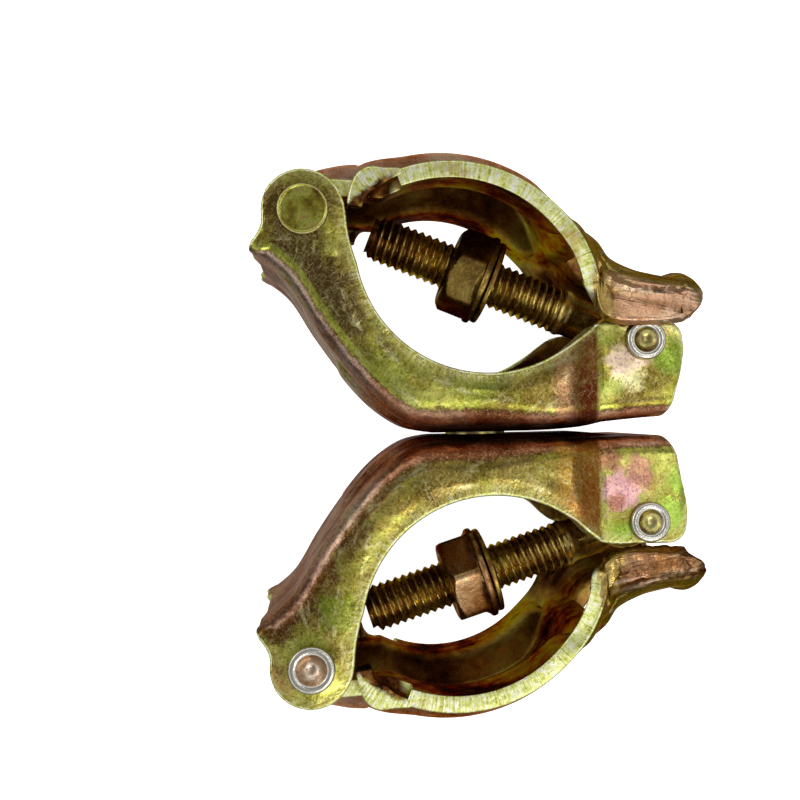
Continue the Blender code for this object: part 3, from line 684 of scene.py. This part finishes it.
def make_flange_nut(side, seed):
    """A hexagon on a conical flange, with chamfered corners and a countersunk bore."""
    start = NUT_STATION[side] + WASHER_SHEET + PLAY
    angles = np.arange(NUT_SIDES) * 360 / NUT_SIDES - HEX_TURN[side]
    flat = np.radians((angles + 30) % 60 - 30)
    hexagon = np.minimum(HEX_HALF / np.cos(flat), HEX_CORNER) - 0.1 * bump(np.abs(np.degrees(flat)), 30, 4)
    bore = CREST + 0.2
    rows = [(bore + 0.5, 0), *((FLANGE_RADIUS - inset, height) for inset, height in FLANGE_EDGE)]
    for height in np.linspace(1.5, 2.8, 7):
        cone = FLANGE_RADIUS - 0.6 - (height - 1.5) * 1.15
        rows.append((np.maximum(cone, hexagon) + 0.12 * bump(cone - hexagon, 0, 0.4), height))
    rows.append((hexagon, 3.4))
    for height in np.linspace(5.8, NUT_HEIGHT - 0.25, 9):
        rows.append((np.minimum(hexagon, 10.4 - (height - 5.4) * 1.2), height))
    rows += [(7.35, NUT_HEIGHT - 0.04), (7.1, NUT_HEIGHT), (bore + 0.7, NUT_HEIGHT), (bore, NUT_HEIGHT - 0.7),
             (bore, 0.5)]
    rows = [(r, start + h) for r, h in rows]
    materials = [fastener("flange_nut_steel_" + side, seed + 2, NUT_PLATE[side])]
    nut = turned_piece("hexagon_flange_nut_" + side, rows, bolt_matrix(side), materials,
                       axis_frame=SHANK, sides=NUT_SIDES, closed=True)
    finish_piece(nut, "nut_" + side, "flange_nut_" + side, 25)


# Rivets and pins, turned about Z of the half frame

def peened_ring(end, ring_radius, hollow, height, depth):
    """Profile of a peened end from the shank outward: a round ring about a conical hollow."""
    top = end + height
    return [(ring_radius - 0.25, end + 0.05), (ring_radius, end + 0.3), (ring_radius, end + height * 0.6),
            (ring_radius - 0.12, end + height * 0.85), (ring_radius - 0.4, top), (hollow + 0.25, top),
            (hollow, top - 0.25), (hollow - 0.15, top - 0.6), (hollow * 0.55, top - depth * 0.8),
            (0, top - depth)]


def make_flap_rivet(side, seed):
    """A flat head with a raised rim on one end, and a peened ring on the other."""
    end = BODY_HALF_WIDTH + 0.25
    peened = [(r, -h) for r, h in peened_ring(end, 4.3, 2.75, 1.5, 2.6)]
    rows = [*peened[::-1], (3.25, -end), (3.25, end), *((r, end + h) for r, h in FLAT_HEAD)]
    materials = [rivet_metal("hinge_rivet_steel_" + side, seed, *HINGE_RIVET[side])]
    rivet = turned_piece("hinge_rivet_" + side, rows, across(half_matrix(side), HINGE), materials)
    finish_piece(rivet, "half_" + side, "flap_rivet_" + side)


def make_bolt_pin(side, seed):
    end = EAR_HALF_WIDTH + 0.25
    peened = peened_ring(end, 3.75, 2.3, 1.4, 1.6)
    rows = [*((r, -h) for r, h in peened[::-1]), (PIN_RADIUS, -end), (PIN_RADIUS, end), *peened]
    materials = [rivet_metal("bolt_pin_steel_" + side, seed + 3, 0.25, 2.3)]
    pin = turned_piece("peened_bolt_pin_" + side, rows, across(half_matrix(side), PIN), materials)
    finish_piece(pin, "half_" + side, "bolt_pin_" + side)


def make_swivel_washer(side, seed):
    floor = BACK_LEVEL + SHEET + PLAY
    matrix = across(half_matrix(side), (0, floor)) @ Matrix.Rotation(-math.pi / 2, 4, "X")
    washer = turned_piece("swivel_spring_washer_" + side, ring(6.3, 9.3, 0, SWIVEL_WASHER, 0.3), matrix,
                          [fastener("spring_washer_steel_" + side, seed + 5, TAN)],
                 sides=SWIVEL_SIDES, closed=True)
    finish_piece(washer, "half_" + side, "swivel_washer_" + side)


def make_swivel_rivet():
    seat = SWIVEL_OFFSET + BACK_LEVEL + SHEET + SWIVEL_WASHER + 2 * PLAY
    dome = [(8.4 * math.sin(t), seat + 1.1 + 2.0 * math.cos(t)) for t in np.radians(np.linspace(0, 90, 14))]
    upper = [*dome, (8.5, seat + 0.5), (8.2, seat + 0.05), (SWIVEL_RADIUS, seat)]
    rows = [*upper, *((r, -h) for r, h in upper[::-1])]
    matrix = Matrix.Translation(CENTRE) @ Matrix.Rotation(-math.pi / 2, 4, "X")
    materials = [rivet_metal("swivel_rivet_steel", 3.0, 0.3, 7.5)]
    rivet = turned_piece("swivel_dome_rivet", rows[::-1], matrix, materials, sides=SWIVEL_SIDES)
    finish_piece(rivet, "half_a", "swivel_rivet")


# Materials

def colour(code):
    """A linear colour from an sRGB hex code, or a grey from a number."""
    if isinstance(code, float):
        return (code, code, code, 1)
    parts = [int(code[k:k + 2], 16) / 255 for k in (0, 2, 4)]
    return (*(p / 12.92 if p <= 0.04045 else ((p + 0.055) / 1.055) ** 2.4 for p in parts), 1.0)


class Nodes:
    """A node tree that is filled by calls. Its noises differ by the seed."""

    def __init__(self, tree, seed=0.0):
        self.tree, self.seed = tree, seed

    def add(self, kind, inputs=None, **settings):
        node = self.tree.nodes.new("ShaderNode" + kind)
        for setting, value in settings.items():
            setattr(node, setting, value)
        for socket, value in (inputs or {}).items():
            self.fill(node.inputs[socket], value)
        return node

    def fill(self, socket, value):
        if isinstance(value, bpy.types.NodeSocket):
            self.tree.links.new(value, socket)
        else:
            socket.default_value = value

    def calc(self, operation, a, b=0.5, c=0.5):
        return self.add("Math", {0: a, 1: b, 2: c}, operation=operation).outputs[0]

    def times(self, first, *others):
        for other in others:
            first = self.calc("MULTIPLY", first, other)
        return first

    def plus(self, a, b):
        return self.calc("ADD", a, b)

    def vector(self, *parts):
        return self.add("CombineXYZ", dict(enumerate(parts))).outputs[0]

    def noise(self, scale, detail=3.0, roughness=0.55, shift=0.0, where=None):
        inputs = {"Vector": where or self.place, "Scale": scale, "Detail": detail, "Roughness": roughness,
                  "W": self.seed + shift}
        return self.add("TexNoise", inputs, noise_dimensions="4D").outputs["Fac"]

    def span(self, value, low, high, start=0.0, end=1.0):
        """Smoothly carries low..high over to start..end."""
        inputs = {"Value": value, "From Min": low, "From Max": high, "To Min": start, "To Max": end}
        return self.add("MapRange", inputs, interpolation_type="SMOOTHSTEP").outputs[0]

    def fade(self, value, low, high):
        """1 below low, falling smoothly to 0 above high."""
        return self.span(value, low, high, 1.0, 0.0)

    def ramp(self, value, stops):
        node = self.add("ValToRGB", {"Fac": value})
        elements = node.color_ramp.elements
        for position, _ in stops[1:-1]:
            elements.new(position)
        for element, (position, tone) in zip(elements, stops):
            element.position, element.color = position, colour(tone)
        return node.outputs["Color"]

    def over(self, base, tone, *shares, blend="MIX"):
        """A colour laid over another by the product of the shares."""
        node = self.add("Mix", {"Factor": self.times(*shares)}, data_type="RGBA", blend_type=blend)
        for socket, value in zip((s for s in node.inputs if s.type == "RGBA"), (base, tone)):
            self.fill(socket, colour(value) if isinstance(value, str) else value)
        return next(socket for socket in node.outputs if socket.type == "RGBA")


class Shader(Nodes):
    """A material over the piece's own millimetres."""

    def __init__(self, name, seed=0.0):
        self.material = bpy.data.materials.new(name)
        self.material.use_nodes = True
        super().__init__(self.material.node_tree, seed)
        self.tree.nodes.clear()
        self.surface = self.add("BsdfPrincipled")
        self.add("OutputMaterial", {"Surface": self.surface.outputs[0]})
        place = self.add("TexCoord").outputs["Object"]
        self.place = self.add("VectorMath", {0: place, "Scale": 1 / MM}, operation="SCALE").outputs[0]
        self.x, self.y, self.z = self.add("SeparateXYZ", {0: self.place}).outputs

    def field(self, name):
        return self.add("Attribute", attribute_name=name).outputs["Fac"]

    def layers(self, base, *rows):
        """Layers of (colour, its shares) over a base."""
        for tone, *shares in rows:
            base = self.over(base, tone, *shares)
        return base

    def polar(self, centre):
        """Angle and radius about a point of the XY plane."""
        dx, dy = self.calc("SUBTRACT", self.x, centre[0]), self.calc("SUBTRACT", self.y, centre[1])
        return self.calc("ARCTAN2", dy, dx), self.hypotenuse(dx, dy)

    def hypotenuse(self, a, b):
        return self.calc("SQRT", self.plus(self.times(a, a), self.times(b, b)))

    def frayed_spot(self, x, y, radius):
        """1 in the middle of a frayed round place of the XY plane, fading to 0 outside."""
        _, distance = self.polar((x, y))
        fray = self.times(self.noise(0.28, 5.0, 0.75, -self.seed), radius * SPOT_FRAY)
        mean = radius * SPOT_FRAY / 2
        return self.fade(self.plus(distance, fray), radius * 0.5 + mean, radius + mean)

    def mottled(self, stops, patch=0.075, shift=0):
        """Patches of plating colour with smaller mottling in them."""
        patches = self.times(self.noise(patch, 3.0, 0.5, shift), 0.75)
        return self.ramp(self.plus(patches, self.times(self.noise(0.5, 2.0, 0.6, shift + 3), 0.25)), stops)

    def speckled(self, base, amount=0.55, shift=0):
        """Fine pale and dark grain."""
        grain = self.noise(2.4, 3.0, 0.8, shift)
        pale = self.span(grain, 0.50, 0.68, 0.0, amount)
        base = self.over(base, "e6d8a0", pale, blend="SOFT_LIGHT")
        return self.layers(base, ("e6d8a0", pale, 0.45), ("2c1606", self.span(grain, 0.32, 0.50, amount, 0.0)))

    def plate_height(self):
        """Orange peel of the zinc plate, with long shallow waves of the pressing."""
        peel, waves = self.noise(0.9, 2.0, 0.5), self.noise(0.16, 1.0, 0.5, 5)
        return self.plus(self.times(peel, 0.5), self.times(waves, 1.5))

    def finish(self, base, roughness, height=None, bump_size=0.0, metallic=1.0):
        for name, value in (("Base Color", base), ("Specular Tint", base), ("Roughness", roughness)):
            self.fill(self.surface.inputs[name], value)
        self.surface.inputs["Metallic"].default_value = metallic
        if height is not None:
            raised = self.add("Bump", {"Height": height, "Distance": bump_size * MM})
            self.fill(self.surface.inputs["Normal"], raised.outputs[0])
        return self.material


PLATED = ((0.34, "5c4418"), (0.42, "85742a"), (0.49, "a39c38"), (0.56, "bcc05a"), (0.63, "bca058"),
          (0.70, "b07848"))
COPPER = ((0.34, "6e3a20"), (0.44, "98603e"), (0.52, "b98062"), (0.60, "cfa285"), (0.68, "a8903c"))
STRAP_COPPER = ((0.34, "b06c44"), (0.44, "dc9c74"), (0.52, "f4bc9c"), (0.60, "ffd8bc"), (0.68, "d4bc64"))
NECK_BACK = ((0.34, "7c5c50"), (0.44, "b0988c"), (0.52, "ccb8ac"), (0.60, "b8bc98"), (0.68, "9a8058"))
# Painted shade of the inner faces
INSIDE_SHADE = ((0.36, "3a1c0c"), (0.46, "7c4c24"), (0.54, "a87e3c"), (0.62, "b4a448"), (0.70, "8a4a2c"))
SKIRT = {"a": ((0.36, "c08a60"), (0.48, "f0bc98"), (0.56, "f4d094"), (0.68, "e8b498")),
         "b": ((0.36, "60380f"), (0.48, "8e5e28"), (0.56, "98782a"), (0.68, "a87458"))}
# Striations at the rolled seat edge with a painted highlight: paler where the streaks stand up.
ROLLED_EDGE_STREAKS_AND_SHEEN = ((0.35, "b08a4a"), (0.48, "ccc864"), (0.6, "f0eeb0"))
CUT_METAL = ((0.36, "98943e"), (0.44, "d8dc74"), (0.51, "f0f4a8"), (0.60, "ffffec"))
HOOK_SHADE = ((0.4, "34180a"), (0.55, "6a4020"), (0.68, "a88838"))
RIVET_CONE = ((0.35, "c8a890"), (0.52, "e0c8b0"), (0.66, "f0e4d0"))
BROWN_GOLD = ((0.34, "4a2410"), (0.44, "8a6030"), (0.53, "b89848"), (0.62, "d8c878"), (0.72, "a09a3c"))
TAN = ((0.34, "6a3018"), (0.44, "9a6a3c"), (0.54, "bc946a"), (0.66, "ccae80"))
OLIVE_BROWN = ((0.34, "44260e"), (0.44, "725626"), (0.54, "92783a"), (0.66, "b09458"))
NUT_PLATE = {"a": OLIVE_BROWN, "b": TAN}
RIM_METAL = "d2cec2"
# Share of bright metal in the middle, and the rim's radius and colour: olive flat head, bright peened ring
HINGE_RIVET = {"a": (0.0, 4.45, "b8b078"), "b": (1.0, 2.9, RIM_METAL)}
# Patches on the bodies: (x, y, radius, colour, share). Most are plating tints; the near-white ones on the bolt
# ears, about x 24 to 29, are painted highlights.
PLACES = {
    "a": ((-39, 8, 6, "5a3f14", 0.7), (-35, -2, 7, "5a4220", 0.85), (-31, -8.5, 6.5, "5c4624", 0.85),
          (-27, -14, 5.5, "604a26", 0.8), (-32, 12, 5, "a8a840", 0.5), (-20, -25, 6, "a4b040", 0.6),
          (11, -27.5, 6, "8a6424", 0.7), (-3, -27, 6, "a8b848", 0.6), (25, -23, 4.2, "f0d2be", 0.85),
          (29, -21.5, 2.6, "ecc8b0", 0.7), (27.5, -26.5, 2.8, "e8e4a8", 0.7),
          (23, -27.5, 2.6, "b4c460", 0.6), (34.5, -22, 4.5, "80a02c", 0.9), (22, -17.5, 3.5, "8a9a34", 0.6),
          (27, -31, 4, "7c6a2c", 0.6)),
    "b": ((-39.5, -2, 4.5, "5e3414", 0.9), (-36.2, -6, 4.5, "5e3414", 0.9), (-32, -11.5, 4.8, "6a4420", 0.9),
          (-26.5, -18.5, 5, "7a5230", 0.85), (-34, 3, 5, "8e9a30", 0.7), (-29, -4.5, 5, "8c9c2c", 0.8),
          (-19, -24, 5, "a4783c", 0.5), (-8, -29, 6, "94803c", 0.7), (5, -29, 6, "a4884c", 0.6),
          (12, -28, 5, "a08a3c", 0.7), (24, -24.5, 5, "ecb0b8", 0.95), (27.5, -28.5, 3.6, "c88a78", 0.85),
          (22, -30.5, 3, "b87860", 0.8), (22.8, -22.5, 2.2, "a85c48", 0.75), (33.5, -20, 4, "b4dc58", 0.9),
          (35.5, -26, 3, "b4dc58", 0.8), (24, -16.5, 3.2, "98c040", 0.8)),
}
SPOT_FRAY = 2.6                         # how far noise moves a spot's edge, in radii
# Painted shade on the joggle's slanted face
JOGGLE_SHADE = {"a": "5a2008", "b": "764410"}
BEFORE_JOGGLE = {"a": "ac7860", "b": "b08030"}
# Stripe where the wall starts to bend at the hinge end: on a, a bright olive painted highlight; on b, dark
# brown.
BEND_COLOUR = {"a": "b8c04c", "b": "6a4018"}
PALE_NECK = {"a": 0.7, "b": 0.45}        # share of the paler copper at the back's hinge end
STROKE_TURNS = (0.5, 1.3, 2.4)           # radians, the ways that the fine strokes run
STROKE_LENGTH, STROKE_WIDTH = 0.5, 4.0   # noise scale along and across a stroke


def body_outside(side):
    """Mottled plate with tint patches, the near-white ones on the bolt ears painted highlights; fine strokes;
    bands of painted highlight and shade on the walls; a painted highlight along the seat edge and, on a, where
    the wall starts to bend; painted shade in the bend and on the joggle; and a copper back.
    """
    mat = Shader("pressed_body_plate_" + side, 1 if side == "a" else 14)
    depth, bend, x = mat.field("depth"), mat.field("bend"), mat.x
    # Tint patches; the near-white ones on the bolt ears are painted highlights.
    tints_and_highlights = ((tone, mat.frayed_spot(*place), share) for *place, tone, share in PLACES[side])
    back = mat.over(mat.mottled(COPPER, shift=1), mat.mottled(NECK_BACK, shift=4),
                    mat.span(x, -26, -18, PALE_NECK[side], 0))
    # The dark 4a2c14 band in the middle of the bend is painted shade between the wall's colour and the copper
    # back.
    ragged = mat.plus(bend, mat.times(mat.noise(0.5, 3, 0.7), 0.5))
    # The joggle's slanted face gets painted shade, here and again over the grain below.
    joggle = mat.times(mat.span(x, 13, 17), mat.fade(x, 19.6, 20.6))
    angle, _ = mat.polar((0, 0))
    # Radial bands on the walls: the pale f2ecb0 streaks are painted highlights, the dark 54400f streaks
    # painted shade.
    bands = mat.noise(0.6, 4, 0.7, 11, mat.vector(mat.times(angle, 7), mat.times(depth, 0.8)))
    before_ear, wall = mat.fade(x, 12, 18), mat.fade(bend, 0.1, 0.6)
    # Near the seat edge: radial striations, bumped, and painted pale on their raised tops and along the edge
    # band as a highlight.
    streaks = mat.noise(1.6, 2, 0.6, where=mat.vector(mat.times(angle, 40)))
    near_edge = mat.fade(depth, 0.3, 3.2)
    base = mat.layers(
        mat.mottled(PLATED), *tints_and_highlights,
        (BEND_COLOUR[side], mat.span(bend, 0.02, 0.2), mat.fade(x, -14, -8), 0.8),
        ("4a2c14", mat.span(ragged, 0.56, 0.76)),
        (back, mat.span(ragged, 0.64, 0.92)),
        (BEFORE_JOGGLE[side], mat.span(x, 10.6, 12.8, 0, 0.7), mat.fade(x, 15, 16.5)),
        (JOGGLE_SHADE[side], joggle, mat.span(mat.noise(0.22, 2, shift=9), 0.3, 0.6, 0.55, 1)),
        ("f2ecb0", mat.span(bands, 0.53, 0.68, 0, 0.6), before_ear, wall),
        ("54400f", mat.span(bands, 0.34, 0.46, 0.55, 0), before_ear, wall),
        (mat.ramp(streaks, ROLLED_EDGE_STREAKS_AND_SHEEN), near_edge, 0.6))
    base = mat.speckled(base, 0.7)
    flat = mat.fade(bend, 0.05, 0.4)
    for turn in STROKE_TURNS:
        run, over = (mat.plus(mat.times(x, scale * math.cos(t)), mat.times(mat.y, scale * math.sin(t)))
                     for scale, t in ((STROKE_LENGTH, turn), (STROKE_WIDTH, turn + math.pi / 2)))
        over = mat.plus(over, mat.times(mat.noise(0.3, 1, shift=turn - mat.seed), 9))
        strokes = mat.noise(1.1, 2, 0.6, turn, mat.vector(run, over))
        base = mat.over(base, "f0e4a4", mat.span(strokes, 0.58, 0.70, 0, 0.34), flat)
    base = mat.over(base, JOGGLE_SHADE[side], joggle, 0.55)
    rough = mat.span(mat.noise(0.3, 2, shift=7), 0.3, 0.7, 0.24, 0.42)
    height = mat.plus(mat.plate_height(), mat.times(streaks, mat.times(near_edge, 0.35)))
    return mat.finish(base, rough, height, 0.14)


def sheared_edge(name, seed, centre):
    """Bright cut metal with cross striations, and the strap's darker at its tail and below its hook."""
    mat = Shader(name, seed)
    angle, radius = mat.polar(centre)
    across_rim = mat.vector(mat.times(angle, 60), mat.times(mat.z, 0.12))
    streaks, uneven = mat.noise(1.4, 3, 0.65, where=across_rim), mat.noise(0.9, 3, 0.7, 6)
    base = mat.ramp(mat.plus(mat.times(streaks, 0.45), mat.times(uneven, 0.55)), CUT_METAL)
    base = mat.speckled(mat.over(base, "b89058", mat.span(mat.noise(0.12), 0.55, 0.68, 0, 0.6)), 0.35)
    if centre is FLAP_CENTRE:
        hook = mat.fade(mat.plus(radius, mat.times(uneven, 1.6)), 28, 28.9)
        base = mat.layers(base, ("b98a58", mat.span(mat.x, 18.6, 21)),
                          ("a87c60", mat.span(mat.x, -30, -27, 0.75, 0)),
                          (mat.ramp(mat.noise(0.5, 2), HOOK_SHADE), hook, mat.fade(mat.x, -18, -16)))
    return mat.finish(base, 0.4, mat.plus(streaks, mat.noise(0.7, 3)), 0.12)


def inside(name, seed):
    """Painted shade for the sheets' inner side: a dark plate that stands for the shade within the channel and
    the strap.
    """
    mat = Shader(name, seed)
    rough = mat.span(mat.noise(0.4), 0.3, 0.7, 0.25, 0.45)
    return mat.finish(mat.speckled(mat.mottled(INSIDE_SHADE, 0.06), 0.2), rough, mat.plate_height(), 0.12)


def strap_outside(side):
    """Copper plate, olive at the tail's start, and the side's own colours on its skirt, whose drawn ridges are
    bumped and painted with shade in their hollows and highlight on their tops.
    """
    mat = Shader("pressed_strap_plate_" + side, 5 if side == "a" else 21)
    x = mat.x
    skirt = mat.times(mat.span(x, 19, 23), 0.8)
    slanted = mat.plus(mat.y, mat.times(x, 0.2))
    before_tail = mat.times(mat.span(x, 13, 18), mat.fade(x, 21, 25))
    on_top = mat.times(mat.span(x, 13, 18), mat.span(slanted, -2.2, -0.6))
    drawn = mat.vector(mat.times(x, 0.1), mat.times(slanted, 1.3), mat.times(mat.z, 0.2))
    ridges = mat.noise(0.55, 3, 0.6, 8, drawn)
    base = mat.layers(
        mat.mottled(STRAP_COPPER, 0.07), (mat.mottled(SKIRT[side], 0.12, 2), skirt),
        ("a8943a", mat.calc("MAXIMUM", before_tail, on_top), 0.8),
        # Ridges of the skirt: painted shade in their hollows (7a4c2a) and painted highlight on their tops
        # (fce0c0), over the bump.
        ("7a4c2a", skirt, mat.span(ridges, 0.36, 0.5, 0.6, 0)),
        ("fce0c0", skirt, mat.span(ridges, 0.54, 0.66, 0, 0.7)))
    rough = mat.span(mat.noise(0.3, 2, shift=7), 0.3, 0.7, 0.22, 0.4)
    height = mat.plus(mat.plate_height(), mat.times(skirt, ridges, 2))
    return mat.finish(mat.speckled(base), rough, height, 0.2)


def fastener(name, seed, stops, crest_highlight=None):
    """Plated steel, with a painted highlight on the crests of a thread along X if it is given a colour."""
    mat = Shader(name, seed)
    base = mat.speckled(mat.mottled(stops, 0.12), 0.3)
    if crest_highlight:
        # The crests are painted lighter: a painted highlight.
        radius = mat.hypotenuse(mat.plus(mat.y, BOLT_SIDE_STEP), mat.z)
        base = mat.over(base, crest_highlight, mat.span(radius, ROOT + 0.3, CREST, 0, 0.8))
    return mat.finish(base, mat.span(mat.noise(0.8, 2), 0.3, 0.7, 0.22, 0.4), mat.noise(1.6, 3), 0.05)


def rivet_metal(name, seed, bright, rim_radius, rim_tone=RIM_METAL):
    """Worn bright at the rim, brassy or olive within it."""
    mat = Shader(name, seed)
    _, radius = mat.polar((0, 0))
    inner = mat.speckled(mat.mottled(PLATED, 0.4), 0.3)
    inner = mat.over(inner, mat.ramp(mat.noise(0.8), RIVET_CONE), bright)
    base = mat.over(inner, rim_tone, mat.span(radius, rim_radius - 0.25, rim_radius))
    return mat.finish(mat.speckled(base, 0.15, 2), 0.24, mat.noise(2, 3), 0.05)


# Stage, light and camera

FLOOR_GLOW, FLOOR_SIZE, FLOOR_LEVEL = 1.0, 3.0, -0.0006
# Brightness of the surroundings from straight below (0) to straight above (1)
WORLD_LEVELS = ((0.0, 0.6), (0.30, 0.25), (0.47, 0.03), (0.55, 0.15), (0.64, 1.0), (0.80, 1.0), (0.90, 0.3),
                (0.97, 0.25), (1.0, 0.45))


def make_floor():
    mat = Shader("pale_floor")
    tone = mat.ramp(mat.noise(0.01, 2.0), ((0.3, "fbfbfb"), (0.7, "ffffff")))
    mat.fill(mat.surface.inputs["Emission Color"], tone)
    mat.surface.inputs["Emission Strength"].default_value = FLOOR_GLOW
    mesh = bpy.data.meshes.new("floor")
    corners = [(x * FLOOR_SIZE, y * FLOOR_SIZE, FLOOR_LEVEL) for x, y in ((-1, -1), (1, -1), (1, 1), (-1, 1))]
    mesh.from_pydata(corners, [], [(0, 1, 2, 3)])
    mesh.materials.append(mat.finish(tone, 0.8, metallic=0.0))
    floor = add_object("floor", mesh)
    floor.visible_glossy = False


def make_world():
    """Studio surroundings: mid above, bright bands at the sides, dark below the horizon."""
    world = bpy.data.worlds.new("studio")
    bpy.context.scene.world = world
    world.use_nodes = True
    nodes = Nodes(world.node_tree)
    height = nodes.add("SeparateXYZ", {0: nodes.add("TexCoord").outputs["Generated"]}).outputs["Z"]
    share = nodes.add("MapRange", {"Value": height, "From Min": -1}).outputs[0]
    background = next(node for node in nodes.tree.nodes if node.type == "BACKGROUND")
    nodes.fill(background.inputs["Color"], nodes.ramp(share, WORLD_LEVELS))


def softbox(name, direction, distance, size, power):
    """A rectangular area lamp that faces the coupler from a direction."""
    lamp = bpy.data.lights.new(name, "AREA")
    lamp.shape = "RECTANGLE"
    lamp.size, lamp.size_y = size
    lamp.energy = power
    obj = add_object(name, lamp)
    way = Vector(direction).normalized()
    obj.location = CENTRE + way * distance
    obj.rotation_euler = way.to_track_quat("Z", "Y").to_euler()


def make_camera():
    lens = bpy.data.cameras.new("camera")
    lens.lens, lens.sensor_width = 47.757, 36.0
    lens.clip_start = 0.01
    camera = add_object("camera", lens)
    camera.location = CENTRE + Vector((-31.7046, 4.3650, 214.2216)) * MM
    camera.rotation_euler = (0.013214, -0.077043, -0.021143)
    bpy.context.scene.camera = camera


def build():
    for side, seed in (("a", 2.0), ("b", 31.0)):
        for make in (make_body, make_flap, make_eye_bolt, make_washer, make_flange_nut, make_flap_rivet,
                     make_bolt_pin, make_swivel_washer):
            make(side, seed)
    make_swivel_rivet()
    make_floor()
    make_world()
    softbox("key", (0.32, 0.03, 0.94), 0.6, (0.2, 0.12), 0.2)
    softbox("low_side", (0.25, -0.5, 0.83), 0.6, (0.3, 0.12), 0.5)
    softbox("left_fill", (-0.8, 0.3, 0.5), 0.7, (0.4, 0.4), 0.5)
    make_camera()
    bpy.context.scene.view_settings.view_transform = "Standard"


build()
